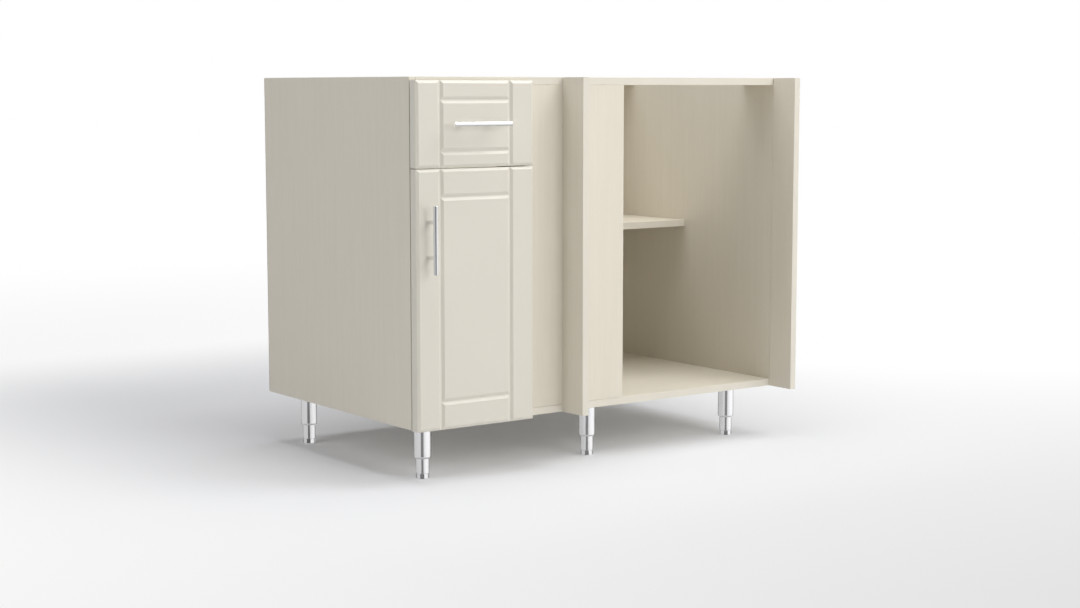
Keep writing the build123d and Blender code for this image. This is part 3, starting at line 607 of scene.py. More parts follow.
def board_holes(node):
    """The holes that show in a carcass board: blind ones for cams, ones through the rails for the
    worktop's screws, and the seats of the screws that hold the corner strip."""
    low = span(node)[0]
    holes = []
    if node in CAM_BOARDS:
        starts = [(x, y, z - 1) for x, y, z in cam_places(node)]
        holes += [cylinder(start, (0, 0, 1), CAM_RADIUS, CAM_HEIGHT + 1) for start in starts]
    if node.endswith("top_rail"):
        y = middle_of(node)[1]
        holes += [cylinder((x, y, low[2] - 1), (0, 0, 1), WORKTOP_HOLE, BOARD + 2) for x in WORKTOP_HOLE_XS]
    if node == "blind_panel":
        holes += [sunk_hole((STRIP_SCREW_X, BOARD, z), (0, 1, 0), STRIP_SCREW) for z in STRIP_SCREW_ZS]
    return holes


for name, finish in BOARD_FINISH.items():
    low, high = span(name)
    short_low, short_high = SHORT_ENDS.get(name, (0, 0))
    add_piece(
        f"{name}_board", [slab(low + short_low, high - np.array(short_high))],
        [finish, edge_band, chipboard_core], "cabinet", name, board_holes(name),
    )

# The outer face of each drawer side, and the way that it looks along X
box_left, box_right = span("drawer_left_side")[0][0], span("drawer_right_side")[1][0]
BOX_SIDES = {"drawer_left_side": (box_left, -1), "drawer_right_side": (box_right, 1)}
for name, finish in DRAWER_BOARDS.items():
    holes = []
    if name in BOX_SIDES:
        x, way = BOX_SIDES[name]
        holes = [sunk_hole((x, y, z), (way, 0, 0), BOX_SCREW) for y, z in BOX_SCREWS]
    add_piece(
        f"{name}_board", [slab(*span(name))], [finish, edge_band, chipboard_core], "drawer",
        name, holes,
    )

back_low, back_high = span("back_panel")
add_piece(
    "back_sheet", [slab(back_low, back_high, 0.3, 0.6, finishes=(1, 0, 1))],
    [hardboard_painted, hardboard_raw], "cabinet", "back_panel",
    [sunk_hole((x, back_high[1], z), (0, 1, 0), BACK_SCREW, 24) for x, z in BACK_SCREWS],
)
add_piece(
    "drawer_bottom_sheet", [slab(*span("drawer_bottom"), 0.3, 0.6)],
    [hardboard_painted, hardboard_painted], "drawer", "drawer_bottom",
)


# Moulded fronts

# Each profile is of the distance from an edge or a groove's middle, and the depth below the face
EDGE_PROFILE = eased([(0, 9), (0, BEVEL_DEPTH), (BEVEL_WIDTH, 0), (12, 0)], (0.5, 0.9))[1:-1]
GROOVE_EDGE = GROOVE_FLOOR + BEVEL_WIDTH
GROOVE_PROFILE = eased(
    [(0, BEVEL_DEPTH), (GROOVE_FLOOR, BEVEL_DEPTH), (GROOVE_EDGE, 0), (14, 0)], (0.6, 0.9)
)[:-1]


def profile_lines(low, high, grooves):
    """Grid lines along one side of a front: every offset of the edge and groove profiles, measured
    from both edges and both ways from each groove's middle."""
    slopes = np.concatenate([EDGE_PROFILE[:, 0], GROOVE_PROFILE[:, 0] - GROOVE_FLOOR])
    slopes = np.unique(np.round(slopes[slopes >= 0], 4))
    offsets = np.unique(np.round(np.concatenate([GROOVE_PROFILE[:, 0], slopes + GROOVE_FLOOR]), 4))
    lines = [low + slopes, high - slopes]
    for middle in grooves:
        lines += [middle + offsets, middle - offsets]
    lines = np.unique(np.round(np.concatenate(lines), 4))
    return lines[np.concatenate([[True], np.diff(lines) > 2e-3])]


def front_depth(x, z, low, high, rails):
    """How far the face lies below the front's plane: the greatest of the bevel's depth at the
    distance to the nearest edge, and each groove's depth at the distance to its middle. The two
    level grooves run between the middles of the two upright ones."""
    nearest = np.minimum(np.minimum(x - low[0], high[0] - x), np.minimum(z - low[2], high[2] - z))
    depth = np.interp(nearest, EDGE_PROFILE[:, 0], EDGE_PROFILE[:, 1])
    for middle in GROOVE_XS:
        depth = np.maximum(depth, np.interp(abs(x - middle), GROOVE_PROFILE[:, 0], GROOVE_PROFILE[:, 1]))
    between = (x >= GROOVE_XS[0] - 1e-6) & (x <= GROOVE_XS[1] + 1e-6)
    for middle in rails:
        level = np.interp(abs(z - middle), GROOVE_PROFILE[:, 0], GROOVE_PROFILE[:, 1])
        depth = np.where(between, np.maximum(depth, level), depth)
    return depth


def moulded_front(node, rails):
    """A routed front. Its face is a height field on a grid whose lines follow the profiles, each
    cell split along the diagonal that lies lower, so that every mitre is a crease. Its sides run
    from the grid's rim back to a small bevel and a flat back."""
    low, high = span(node)
    xs = profile_lines(low[0], high[0], GROOVE_XS)
    zs = profile_lines(low[2], high[2], rails)
    x, z = np.meshgrid(xs, zs)
    depth = front_depth(x, z, low, high, rails)
    points = np.stack([x, low[1] + depth, z], axis=-1).reshape(-1, 3)
    rows, columns = x.shape
    index = np.arange(rows * columns).reshape(rows, columns)
    a, b, c, d = index[:-1, :-1], index[:-1, 1:], index[1:, 1:], index[1:, :-1]
    cells = np.stack([a, b, c, d], axis=-1).reshape(-1, 4)
    flat = depth.reshape(-1)[cells]
    twist = flat[:, 0] + flat[:, 2] - flat[:, 1] - flat[:, 3]
    plain = np.abs(twist) < 1e-6
    first = twist < 0
    faces = cells[plain].tolist()
    for chosen, halves in ((first, ((0, 1, 2), (0, 2, 3))), (~first, ((1, 2, 3), (1, 3, 0)))):
        for corners in halves:
            faces += cells[~plain & chosen][:, corners].tolist()
    rim = np.concatenate([index[0, :-1], index[:-1, -1], index[-1, :0:-1], index[:0:-1, 0]])
    ring = points[rim]
    middle = (low + high) / 2
    size = high - low
    straight = ring.copy()
    straight[:, 1] = high[1] - BACK_BEVEL
    inner = straight.copy()
    inner[:, 1] = high[1]
    for axis in (0, 2):
        inner[:, axis] = middle[axis] + (ring[:, axis] - middle[axis]) * (1 - 2 * BACK_BEVEL / size[axis])
    sides = skin(np.array([ring, straight, inner]), first_cap=False)
    return [(points, faces), sides]


door_low, door_high = span("door_panel")
hinge_zs = [middle_of(f"{name}_hinge_cup")[2] for name in ("lower", "upper")]
add_piece(
    "routed_door", moulded_front("door_panel", DOOR_GROOVE_ZS), [front_foil], "door",
    "door_panel",
    [cylinder((CUP_X, door_high[1] + 1, z), (0, -1, 0), CUP_BORE, CUP_DEPTH + 1, 72) for z in hinge_zs],
)
add_piece(
    "routed_drawer_front", moulded_front("drawer_front", DRAWER_GROOVE_ZS), [front_foil], "drawer",
    "drawer_front",
)


# Handles

# Each handle: the middle of its bar in X and Z, the bar's axis, and the board that its screws seat in
HANDLES = {
    "drawer": (DRAWER_HANDLE, 0, "drawer_inner_front"),
    "door": (DOOR_HANDLE, 2, "door_panel"),
}


def post_places(prefix):
    """Where the two posts of a handle stand in X and Z: half their spacing to each side of the middle
    of its bar, along the bar."""
    middle, axis, _ = HANDLES[prefix]
    along = np.eye(3)[axis][[0, 2]]
    return [np.array(middle) + side * POST_SPACING / 2 * along for side in (-1, 1)]


def bar(node):
    """A round bar with eased ends, along the longest side of its node's box."""
    low, high = span(node)
    axis = int(np.argmax(high - low))
    length = (high - low)[axis]
    base = (low + high) / 2
    base[axis] = low[axis]
    end = eased([(0.4, 0), (BAR_RADIUS, 0), (BAR_RADIUS, length / 2)], (0.8,), 5)[:-1]
    mirrored = np.stack([end[::-1, 0], length - end[::-1, 1]], axis=1)
    return turned(np.concatenate([end, mirrored]), base, np.eye(3)[axis], 64)


def post(x, z, face_y, bar_y, axis):
    """A turned post with a fine groove round its foot. Its top ring follows the bar: it stands at the
    bar's middle plus the root of the bar's radius squared minus the square of the offset across the
    bar, and a little deeper."""
    neck = POST_RADIUS - 0.4
    foot = eased([(neck, 0), (neck, 0.8), (POST_RADIUS, 1.2), (POST_RADIUS, 4.0)], (0.1, 0.2), 4)
    profile = np.concatenate([foot, [(POST_RADIUS, POST_LENGTH)]])
    points, faces = turned(profile, (x, face_y, z), (0, -1, 0), 40)
    top = points[:, 1] < face_y - POST_LENGTH + 1
    across = points[top][:, 2] - z if axis == 0 else points[top][:, 0] - x
    points[top, 1] = bar_y + np.sqrt(BAR_RADIUS**2 - across**2) - POST_SINK
    return points, faces


for name, (_, axis, _) in HANDLES.items():
    add_piece(
        f"{name}_bar", [bar(f"{name}_handle_bar")], [chrome], name, f"{name}_handle_bar"
    )
    face_y = span(f"{name}_handle_posts")[1][1]
    posts = [post(x, z, face_y, face_y - BAR_REACH, axis) for x, z in post_places(name)]
    add_piece(f"{name}_bar_posts", posts, [chrome], name, f"{name}_handle_posts")


# Legs and their levelling feet

def flats(angles):
    """The radius of a regular polygon for each angle, as a part of its corner radius: the cosine of
    half a flat's angle over the cosine of the angle from the middle of that flat."""
    half = math.pi / CAP_FLATS
    offset = np.mod(angles, 2 * half) - half
    return np.cos(half) / np.cos(offset)


def leg(x, y):
    """A square flange with eased corners, and a tube below a collar. The tube ends in a quarter
    ellipse: its radius follows the cosine and its height the sine of even angles."""
    half = np.array([FLANGE_HALF, FLANGE_HALF, FLANGE_THICK / 2])
    middle = np.array([x, y, -FLANGE_THICK / 2])
    flange = slab(middle - half, middle + half, 0.6, 6.0)
    collar = [(COLLAR_RADIUS, FLANGE_THICK - 0.2), (COLLAR_RADIUS, COLLAR_BOTTOM)]
    collar = eased([*collar, (TUBE_RADIUS, COLLAR_BOTTOM), (TUBE_RADIUS, 30)], (0.6, 0.5))[:-1]
    lip = FOOT_RADIUS + 0.4
    end = lip + 0.5
    t = np.linspace(0, math.pi / 2, 9)
    radii = end + (TUBE_RADIUS - end) * np.cos(t)
    shoulder = np.stack([radii, TUBE_BOTTOM - SHOULDER + SHOULDER * np.sin(t)], axis=1)
    inside = [(lip, TUBE_BOTTOM - 0.2), (lip, TUBE_BOTTOM - 6)]
    profile = np.concatenate([collar, shoulder, inside])
    return [flange[:2], turned(profile, (x, y, 0), (0, 0, -1), 96)]


def foot(x, y):
    """A sleeve, and below a seam its cap, whose radius follows a polygon of flats."""
    sleeve = [(FOOT_RADIUS - 2, FOOT_TOP), (FOOT_RADIUS, FOOT_TOP), (FOOT_RADIUS, CAP_SEAM)]
    sleeve = eased([*sleeve, (FOOT_RADIUS - 1.2, CAP_SEAM)], (0.4, 0.4), 4)
    height = span("front_left_leg")[1][2] - span("front_left_foot")[0][2]
    cap = [(FOOT_RADIUS - 1.4, CAP_SEAM - 0.5), (FOOT_RADIUS - 0.9, CAP_SEAM + 0.5)]
    cap += [(FOOT_RADIUS, CAP_SEAM + 0.7), (FOOT_RADIUS, height), (FOOT_RADIUS - 6, height)]
    cap = eased(cap, (0.1, 0.2, 1.2), 4)
    return [
        turned(sleeve, (x, y, 0), (0, 0, -1), 96),
        turned(cap, (x, y, 0), (0, 0, -1), 120, flats),
    ]


for name in LEGS:
    x, y, _ = middle_of(f"{name}_leg")
    add_piece(f"{name}_tube", leg(x, y), [chrome], "cabinet", f"{name}_leg")
    add_piece(
        f"{name}_sleeve", foot(x, y), [chrome], f"{name}_foot_body", f"{name}_foot",
        sharp=15.0,
    )


# Screws, cams and pegs

RUNNER_HEIGHT = 600.0
RUNNER_SCREW_YS = (44.0, 229.0, 414.0)
SHEET = 1.2
PLATE_SCREW_Y = 37.0
PLATE_SCREW_RISE = 16.0
PLATE_THICK = 2.2


def runner_screws(x, way, length):
    """The row of screws that holds one member of a runner."""
    return [screw((x, y, RUNNER_HEIGHT), (way, 0, 0), length) for y in RUNNER_SCREW_YS]


screws = []
for name in LEGS:
    x, y, _ = middle_of(f"{name}_leg")
    corners = [(x + i * LEG_SCREW_REACH, y + j * LEG_SCREW_REACH) for i in (-1, 1) for j in (-1, 1)]
    screws += [screw((*corner, -FLANGE_THICK), (0, 0, -1), LEG_SCREW_LENGTH) for corner in corners]
screws += [sunk_screw((x, back_high[1], z), (0, 1, 0), BACK_SCREW) for x, z in BACK_SCREWS]
screws += [sunk_screw((STRIP_SCREW_X, BOARD, z), (0, 1, 0), STRIP_SCREW) for z in STRIP_SCREW_ZS]
screws += runner_screws(BOARD + SHEET, 1, RUNNER_SCREW_LENGTH)
screws += runner_screws(STILE_LEFT - SHEET, -1, RUNNER_SCREW_LENGTH)
for z in hinge_zs:
    for side in (-1, 1):
        seat = (STILE_LEFT - PLATE_THICK, PLATE_SCREW_Y, z + side * PLATE_SCREW_RISE)
        screws.append(screw(seat, (-1, 0, 0), PLATE_SCREW_LENGTH))
add_piece("carcass_screws", screws, [zinc], "cabinet", "chipboard_screws")

screws = []
for x, way in BOX_SIDES.values():
    screws += [sunk_screw((x, y, z), (way, 0, 0), BOX_SCREW) for y, z in BOX_SCREWS]
inner_front_y = span("drawer_inner_front")[1][1]
screws += [screw((x, inner_front_y, z), (0, 1, 0), FRONT_SCREW_LENGTH) for x, z in FRONT_SCREWS]
for x, way in BOX_SIDES.values():
    screws += runner_screws(x + way * SHEET, way, BOX_RUNNER_SCREW_LENGTH)
add_piece("drawer_box_screws", screws, [zinc], "drawer", "drawer_screws")

for name, (_, _, seat_board) in HANDLES.items():
    seat_y = span(seat_board)[1][1]
    length = seat_y - door_low[1] + THREAD_REACH
    screws = [screw((x, seat_y, z), (0, 1, 0), length, 4.0, 2.5) for x, z in post_places(name)]
    add_piece(f"{name}_bar_screws", screws, [zinc], name, f"{name}_handle_screws")

cup_screw_zs = [z + side * CUP_SCREW_RISE for z in hinge_zs for side in (-1, 1)]
screws = [screw((CUP_SCREW_X, -1.0, z), (0, 1, 0), CUP_SCREW_LENGTH) for z in cup_screw_zs]
add_piece("cup_screws", screws, [zinc], "door", "hinge_cup_screws")

cams = [
    cross_head(
        (x, y, z + CAM_HEIGHT - CAM_PLAY), (0, 0, -1), CAM_RADIUS - CAM_PLAY, CAM_HEIGHT - 2 * CAM_PLAY,
        0.02, (), 2.0,
    )
    for node in CAM_BOARDS for x, y, z in cam_places(node)
]
add_piece("cams", cams, [zinc], "cabinet", "cam_discs")

PEG_PROFILE = eased(
    [(0.2, -8), (2.5, -8), (2.5, 0), (3.8, 0), (3.8, 0.9), (2.5, 0.9), (2.5, 8), (0.2, 8)],
    (0.6, 0.1, 0.2, 0.2, 0.1, 0.8), 3,
)
peg_z = middle_of("shelf_pins")[2]
pegs = [
    turned(PEG_PROFILE, (x, y, peg_z), (way, 0, 0), 24)
    for x, way in ((BOARD, 1), (RIGHT_WALL, -1)) for y in PEG_YS
]
add_piece("shelf_pegs", pegs, [zinc], "cabinet", "shelf_pins")

BUMPER_RADIUS = 4.0
bumper_low, bumper_high = span("door_bumpers")
bumper_x = middle_of("door_bumpers")[0]
bumper_thick = bumper_high[1] - bumper_low[1]
bumper_profile = eased(
    [(BUMPER_RADIUS, 0), (BUMPER_RADIUS, 1.0), (2.4, bumper_thick), (0.2, bumper_thick)], (0.5, 1.4), 5
)
bumpers = [
    turned(bumper_profile, (bumper_x, bumper_low[1], z), (0, 1, 0), 32)
    for z in (bumper_low[2] + BUMPER_RADIUS, bumper_high[2] - BUMPER_RADIUS)
]
add_piece("bumper_pads", bumpers, [bumper_clear], "door", "door_bumpers")


# Telescopic runners: folded sheet, given by the line of its middle in depth from the wall and height

RUNNER_FRONT = 4.0
RUNNER_LENGTH = 450.0
RUNNER_WALLS = {"left": (BOARD, 1), "right": (STILE_LEFT, -1)}


def folded(wall, line, radii):
    """Folded sheet: the middle line with eased bends, moved half the thickness to each side along
    its normals, makes a closed outline that is carried along Y."""
    x0, way = wall
    line = eased(line, radii, 5)
    tangent = np.gradient(line, axis=0)
    normal = np.stack([-tangent[:, 1], tangent[:, 0]], axis=1)
    normal /= np.linalg.norm(normal, axis=1)[:, None]
    outline = np.concatenate([line + normal * SHEET / 2, (line - normal * SHEET / 2)[::-1]])
    outline = outline * (way, 1) + (x0, RUNNER_HEIGHT)
    rings = np.empty((2, len(outline), 3))
    rings[:, :, (0, 2)] = outline
    rings[:, :, 1] = np.array([[RUNNER_FRONT], [RUNNER_FRONT + RUNNER_LENGTH]])
    return skin(rings)


def web_slots(wall, depth, places, half_length, radius):
    """Slots cut through a web at one depth, at given places along Y."""
    x0, way = wall
    x = x0 + way * depth
    return [prism(stadium(y, RUNNER_HEIGHT, half_length, radius), (1, 2), x - 2, x + 2, 0.01) for y in places]


CABINET_LINE = [(10.0, 20.5), (10.0, 21.9), (0.6, 21.9), (0.6, -21.9), (10.0, -21.9), (10.0, -20.5)]
MIDDLE_LINE = [(11.0, 17.5), (4.2, 17.5), (4.2, -17.5), (11.0, -17.5)]
DRAWER_LINE = [(5.5, 13.1), (12.1, 13.1), (12.1, -13.1), (5.5, -13.1)]
WEB_SLOTS = (84.0, 134.0, 184.0, 274.0, 324.0, 369.0)
MIDDLE_SLOTS = (44.0, 134.0, 324.0, 414.0)

# Each member: its piece, body and node, its line and bends, and its slots' depth, places and size
RUNNER_MEMBERS = (
    ("outer", "cabinet", "cabinet", CABINET_LINE, (0.65, 1.3, 1.3, 0.65), 0.6, WEB_SLOTS, 9, 2.6),
    ("intermediate", "runner_middles", "middle", MIDDLE_LINE, (1.3, 1.3), 4.2, MIDDLE_SLOTS, 14, 5.0),
    ("inner", "drawer", "drawer", DRAWER_LINE, (1.3, 1.3), 12.1, WEB_SLOTS, 8, 2.4),
)
for side, wall in RUNNER_WALLS.items():
    for name, body, member, line, bends, depth, places, half_length, radius in RUNNER_MEMBERS:
        add_piece(
            f"{side}_runner_{name}", [folded(wall, line, bends)], [zinc], body,
            f"{side}_runner_{member}_member", web_slots(wall, depth, places, half_length, radius),
        )

BALL_RADIUS = 1.55
BALL_SPACING = 15.0
BALL_COUNT = 6
CAGE_HALF = np.array((2.0, 45.0, 0.3))


def ball_cage(wall, height, depth):
    """A strip of sheet and its row of balls; a ball's rings are its radius times sine and cosine."""
    x0, way = wall
    middle = np.array((x0 + way * depth, RUNNER_FRONT + RUNNER_LENGTH / 2, RUNNER_HEIGHT + height))
    cage = slab(middle - CAGE_HALF, middle + CAGE_HALF, 0.1, 0.8, 3, (0, 0, 0))
    t = np.linspace(0, math.pi, 11)
    ball = np.stack([BALL_RADIUS * np.sin(t), -BALL_RADIUS * np.cos(t)], axis=1)
    offsets = (np.arange(BALL_COUNT) - (BALL_COUNT - 1) / 2) * BALL_SPACING
    return [cage] + [turned(ball, middle + (0, offset, 0), (0, 0, 1), 18) for offset in offsets]


# Each set of cages: its height above and below the runner's middle, and its depth from the wall
for name, height, depth in (("outer_bearings", 19.7, 7.2), ("inner_bearings", 15.3, 8.2)):
    cages = []
    for wall in RUNNER_WALLS.values():
        cages += ball_cage(wall, -height, depth) + ball_cage(wall, height, depth)
    add_piece(f"{name}_cages", cages, [zinc], name, f"runner_{name}")


# Concealed hinges

# The pin in X and Y; the wing's reach from the cup's middle to the left, to the right, up and down
PIN = (284.9, -11.2)
WING_LEFT, WING_RIGHT, WING_RISE = 20.8, 13.2, 27.0
CUP_RIM = 18.0
CUP_STEPS = 144

# The arm's outer and inner face and its flanges' edge in X, its reach and its screws in Y, its half
# height, its sheet, the neck's half height and the radius of the eye round the pin
ARM_FACE = 271.15
ARM_INSIDE = 273.6
ARM_EDGE = 281.0
ARM_START, ARM_END = 3.2, 62.0
ARM_SCREW_YS = (17.0, 52.0)
ARM_HALF = 8.0
ARM_SHEET = 1.5
NECK_HALF = 4.7
EYE_RADIUS = 2.4

# The plate's outline in Y and height, its rib, and the slot that the cup's wing leaves for the neck,
# each by its lowest and highest corner, with Z from the hinge's middle
PLATE_OUTLINE = ((20, 6.2), (28, 8), (30, 24), (44, 24), (46, 8), (56, 6.2))
RIB = ((273.65, 16, -6), (282.5, 60, 6))
NECK_SLOT = ((286.1, -9.5, -5.4), (290.5, 0.5, 5.4))


def cup_outline(angles):
    """The wing's and rim's outline round the cup: the greater of the rim's radius and a rounded
    rectangle's, which is one over the fourteenth root of the sum of the two sides' fourteenth
    powers."""
    across = np.where(np.cos(angles) < 0, -np.cos(angles) / WING_LEFT, np.cos(angles) / WING_RIGHT)
    rectangle = (across**14 + np.abs(np.sin(angles) / WING_RISE) ** 14) ** (-1 / 14)
    return np.maximum(rectangle, CUP_RIM)


def hinge_cup(z):
    """A pressed cup as one closed shell of rings round its axis, each a radius and a place in Y: up
    the outside of the bowl, out and over the wing, and down the inside."""
    angles = np.arange(CUP_STEPS) * 2 * math.pi / CUP_STEPS
    wing = cup_outline(angles)
    rows = [
        (16.6, -15.4), (17.4, -14.6), (17.5, -2.0), (wing, -1.98), (wing, -1.25), (wing - 0.25, -1.0),
        (17.1, -1.0), (16.75, -1.3), (16.7, -13.6), (15.7, -14.6), (6.0, -14.7),
    ]
    around = np.stack([np.cos(angles), np.zeros(CUP_STEPS), np.sin(angles)], axis=1)
    rings = [np.broadcast_to(radius, CUP_STEPS)[:, None] * around + (CUP_X, y, z) for radius, y in rows]
    return skin(np.array(rings))


def hinge_arm(z):
    """The arm: a folded channel over the plate, and a goose neck whose outline, in plan, is carried
    up. The neck's end goes round the pin as its radius times sine and cosine."""
    inside = ARM_HALF - ARM_SHEET
    half = [(ARM_EDGE, ARM_HALF), (ARM_EDGE, inside), (ARM_INSIDE, inside)]
    channel = [(x, z - rise) for x, rise in half] + [(x, z + rise) for x, rise in half[::-1]]
    channel = closed([*channel, (ARM_FACE, z + ARM_HALF), (ARM_FACE, z - ARM_HALF)], 0.4, 3)
    turn = np.linspace(-2.2, 2.0, 9) + 0.6
    eye = PIN + EYE_RADIUS * np.stack([np.sin(turn), -np.cos(turn)], axis=1)
    before = [(ARM_FACE, 6.0), (ARM_FACE, -12.0), (273.2, -13.3)]
    neck = np.concatenate([before, eye, [(273.7, -10.6), (273.7, 6.0)]])
    parts = [prism(channel, (0, 2), ARM_START, ARM_END)]
    parts.append(prism(neck, (0, 1), z - NECK_HALF, z + NECK_HALF))
    for y in ARM_SCREW_YS:
        parts.append(cross_head((ARM_FACE, y, z), (-1, 0, 0), 3.6, 1.0, 0.3, (), 0.8))
    return parts


def hinge_plate(z):
    """The winged plate, whose outline is the same above and below its middle, and the rib that the
    arm clips over."""
    wings = [(y, z - rise) for y, rise in PLATE_OUTLINE] + [(y, z + rise) for y, rise in PLATE_OUTLINE[::-1]]
    return [
        prism(closed(wings, 1.6, 4), (1, 2), STILE_LEFT - PLATE_THICK, STILE_LEFT, 0.4),
        slab(*(np.array(corner) + (0, 0, z) for corner in RIB), 0.7, 1.2, finishes=(0, 0, 0)),
    ]


for name, z in zip(("lower", "upper"), hinge_zs):
    slot = slab(*(np.array(corner) + (0, 0, z) for corner in NECK_SLOT), 0.2, 0.4, finishes=(0, 0, 0))
    add_piece(f"{name}_cup", [hinge_cup(z)], [zinc], "door", f"{name}_hinge_cup", [slot])
    add_piece(f"{name}_arm", hinge_arm(z), [zinc], "cabinet", f"{name}_hinge_arm")
    add_piece(f"{name}_plate", hinge_plate(z), [zinc], "cabinet", f"{name}_hinge_plate")


# Nodes that keep their own shape take their finish here

for name, finish in (("cam_bolts", zinc), ("hinge_pins", zinc), ("dowels", beech_wood)):
    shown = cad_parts[name]
    shown.data.materials.clear()
    shown.data.materials.append(finish)


# Floor, background and light

FLOOR_HALF = 30.0
BACKWARD = (0.588, 0.809, 0.0)
SIDE = (0.809, -0.588, 0.0)

# The rectangle round the shadow, by its middle and half size, how far from it the glow is full, and the
# glow's share within it, which is painted light that lifts the shadow
SHADE_MIDDLE = (-0.055, 0.518, 0.0)
SHADE_HALF = (0.443, 0.497, 1.0)
SHADE_REACH = 1.0
SHADE_GLOW = 0.09

# The painted glow's level at the middle, its slopes sideways, backwards and for both, which paint shade that
# makes it greyer at the object's right front, and where it turns white
GLOW_LEVEL = 0.914
GLOW_SIDE = -0.024
GLOW_BACK = 0.049
GLOW_BOTH = 0.045
GLOW_LIMIT = 1.35
WHITE_REACH = (2.0, 5.0)

# How much of the floor a mirror looks through
FLOOR_CLEAR = 0.8

# What mirrors see: white, and less of it to one side, downwards and in the gaps. Each reach is of the
# direction's component that moves the level. A gap's azimuth is from +Y towards +X, and its edges
# are shares of its half width
MIRROR_WHITE = 1.15
MIRROR_SIDE = 0.68
MIRROR_FLOOR = 0.4
SIDE_REACH = (0.25, 1.0)
FLOOR_REACH = (-0.75, -0.3)
STEEP_REACH = (0.35, 0.7)
GAP_EDGES = (0.6, 1.3)
GAPS = ((216.0, 21.0, 0.08), (36.0, 48.0, 0.22))
FILL = 0.15
FILL_COLOUR = (1.0, 0.995, 0.985, 1.0)


def make_floor():
    """A pale floor that keeps the object's shadow. Away from the shadow, as the camera sees it, it
    fades into a glow of painted light that is a little greyer at the object's right front, which is
    painted shade, and white far away. Within the shadow a small share of the glow is painted light
    that lifts the shadow.
    The distance from the shadow is the length of what lies outside a rectangle, per axis. Mirrors
    see most of the way through the floor, and the camera sees through it from below."""
    mesh = bpy.data.meshes.new("floor")
    corners = np.array([(-1, -1, 0), (1, -1, 0), (1, 1, 0), (-1, 1, 0)]) * FLOOR_HALF
    mesh.from_pydata(corners.tolist(), [], [(0, 1, 2, 3)])
    floor = bpy.data.objects.new("floor", mesh)
    bpy.context.collection.objects.link(floor)
    material, tree, shader, coordinates = new_material("pale_floor")
    shader.inputs["Base Color"].default_value = linear(237, 238, 241)
    shader.inputs["Roughness"].default_value = 0.9
    shader.inputs["Specular IOR Level"].default_value = 0.1
    offset = compute_vector(tree, "SUBTRACT", coordinates, SHADE_MIDDLE)
    offset = compute_vector(tree, "SUBTRACT", compute_vector(tree, "ABSOLUTE", offset), SHADE_HALF)
    distance = compute_vector(tree, "LENGTH", compute_vector(tree, "MAXIMUM", offset, (0, 0, 0)))
    fade = spread(tree, distance, SHADE_GLOW, 1.0, (0.0, SHADE_REACH), "SMOOTHSTEP")
    back, side = (compute_vector(tree, "DOT_PRODUCT", coordinates, way) for way in (BACKWARD, SIDE))
    back, side = (compute(tree, "MINIMUM", value, GLOW_LIMIT) for value in (back, side))
    back, side = (compute(tree, "MAXIMUM", value, -GLOW_LIMIT) for value in (back, side))
    both = compute(tree, "MULTIPLY", back, side)
    level = GLOW_LEVEL
    for value, slope in ((side, GLOW_SIDE), (back, GLOW_BACK), (both, GLOW_BOTH)):
        level = compute(tree, "MULTIPLY_ADD", value, slope, level)
    level = compute(tree, "MINIMUM", level, 1.0)
    away = compute_vector(tree, "LENGTH", coordinates)
    level = spread(tree, away, level, 1.0, WHITE_REACH, "SMOOTHSTEP")
    # The floor's glow is painted light: its level paints shade towards the right front and lifts the shadow
    glow = add_node(tree, "ShaderNodeEmission", {"Color": level, "Strength": 1.0})
    path = add_node(tree, "ShaderNodeLightPath").outputs
    seen = mix_shaders(tree, compute(tree, "MULTIPLY", path["Is Camera Ray"], fade), shader, glow)
    mirrored = compute(tree, "MULTIPLY", path["Is Glossy Ray"], FLOOR_CLEAR)
    under = add_node(tree, "ShaderNodeNewGeometry").outputs["Backfacing"]
    below = compute(tree, "MULTIPLY", path["Is Camera Ray"], under)
    clear = add_node(tree, "ShaderNodeBsdfTransparent")
    mix = mix_shaders(tree, compute(tree, "MAXIMUM", mirrored, below), seen, clear)
    tree.links.new(mix.outputs[0], tree.nodes["Material Output"].inputs["Surface"])
    mesh.materials.append(material)


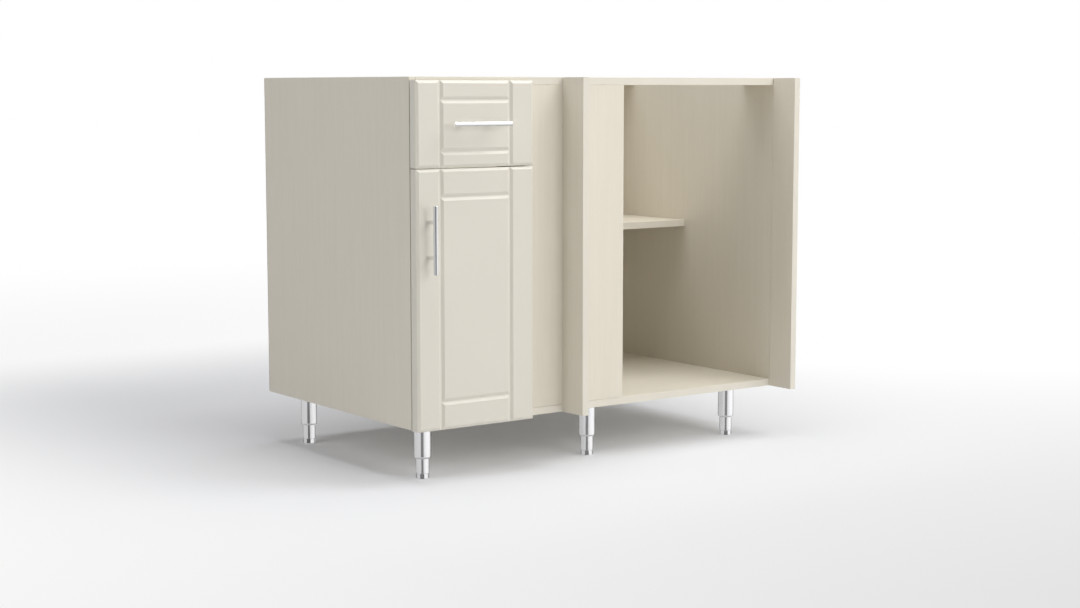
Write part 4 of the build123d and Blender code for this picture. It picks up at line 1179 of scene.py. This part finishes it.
def make_world():
    """White to the camera. Mirrors see the same white, dimmer to one side and downwards, with a few
    darker gaps between the studio's panels, which end where the view turns steeply up or down.
    Everything else gets an even fill."""
    world = bpy.data.worlds.new("studio")
    bpy.context.scene.world = world
    world.use_nodes = True
    tree = world.node_tree
    fill = tree.nodes["Background"]
    fill.inputs["Color"].default_value = FILL_COLOUR
    fill.inputs["Strength"].default_value = FILL
    white = add_node(tree, "ShaderNodeBackground", {"Color": (1, 1, 1, 1), "Strength": 1.0})
    direction = add_node(tree, "ShaderNodeTexCoord").outputs["Generated"]
    unit = compute_vector(tree, "NORMALIZE", compute_vector(tree, "MULTIPLY", direction, (1, 1, 0)))
    side = compute_vector(tree, "DOT_PRODUCT", direction, SIDE)
    height = add_node(tree, "ShaderNodeSeparateXYZ", {"Vector": direction}).outputs["Z"]
    level = spread(tree, side, MIRROR_SIDE, MIRROR_WHITE, SIDE_REACH)
    below = spread(tree, height, MIRROR_FLOOR, MIRROR_WHITE, FLOOR_REACH, "SMOOTHSTEP")
    level = compute(tree, "MINIMUM", level, below)
    lift = spread(tree, compute(tree, "ABSOLUTE", height), 0.0, MIRROR_WHITE, STEEP_REACH)
    for azimuth, half_width, depth in GAPS:
        toward = (math.sin(math.radians(azimuth)), math.cos(math.radians(azimuth)), 0)
        facing = compute_vector(tree, "DOT_PRODUCT", unit, toward)
        inner, outer = (math.cos(math.radians(half_width * share)) for share in GAP_EDGES)
        gap = spread(tree, facing, MIRROR_WHITE, depth, (outer, inner), "SMOOTHSTEP")
        level = compute(tree, "MINIMUM", level, compute(tree, "MAXIMUM", gap, lift))
    panels = add_node(tree, "ShaderNodeBackground", {"Color": level, "Strength": 1.0})
    path = add_node(tree, "ShaderNodeLightPath").outputs
    mirrored = mix_shaders(tree, path["Is Glossy Ray"], fill, panels)
    seen = compute(tree, "MAXIMUM", path["Is Camera Ray"], path["Is Transmission Ray"])
    final = mix_shaders(tree, seen, mirrored, white)
    tree.links.new(final.outputs[0], tree.nodes["World Output"].inputs["Surface"])


LAMP_TARGET = (0, 0, 0.4)


def area_lamp(name, location, size, watts, colour=(1.0, 1.0, 1.0)):
    """A square soft lamp aimed at the object's middle."""
    lamp = bpy.data.lights.new(name, "AREA")
    lamp.color = colour
    lamp.shape = "SQUARE"
    lamp.size = size
    lamp.energy = watts
    holder = bpy.data.objects.new(name, lamp)
    bpy.context.collection.objects.link(holder)
    holder.location = location
    holder.rotation_euler = (Vector(LAMP_TARGET) - Vector(location)).to_track_quat("-Z", "Y").to_euler()


make_floor()
make_world()
area_lamp("key", (2.2, -2.2, 3.6), 2.2, 78.0)
area_lamp("overhead", (0.0, 0.0, 3.4), 2.4, 59.5)
area_lamp("front", (0.3, -3.6, 1.6), 2.0, 39.5)
area_lamp("right", (3.6, -0.6, 2.2), 2.2, 7.0)
area_lamp("left", (-3.4, 0.0, 2.0), 2.2, 29.8, (0.985, 1.0, 1.035))


# Camera at the photograph's viewing angle
YAW = math.radians(36.024)
PITCH = math.radians(6.683)
camera_data = bpy.data.cameras.new("camera")
camera_data.lens = 61.89
camera_data.sensor_width = 36.0
camera_data.shift_y = 0.002
camera = bpy.data.objects.new("camera", camera_data)
bpy.context.collection.objects.link(camera)
forward = Vector((math.sin(YAW) * math.cos(PITCH), math.cos(YAW) * math.cos(PITCH), -math.sin(PITCH)))
camera.rotation_euler = forward.to_track_quat("-Z", "Y").to_euler()
camera.location = (-2.4965, -3.4599, 0.8124)
bpy.context.scene.camera = camera
bpy.context.scene.view_settings.view_transform = "Standard"
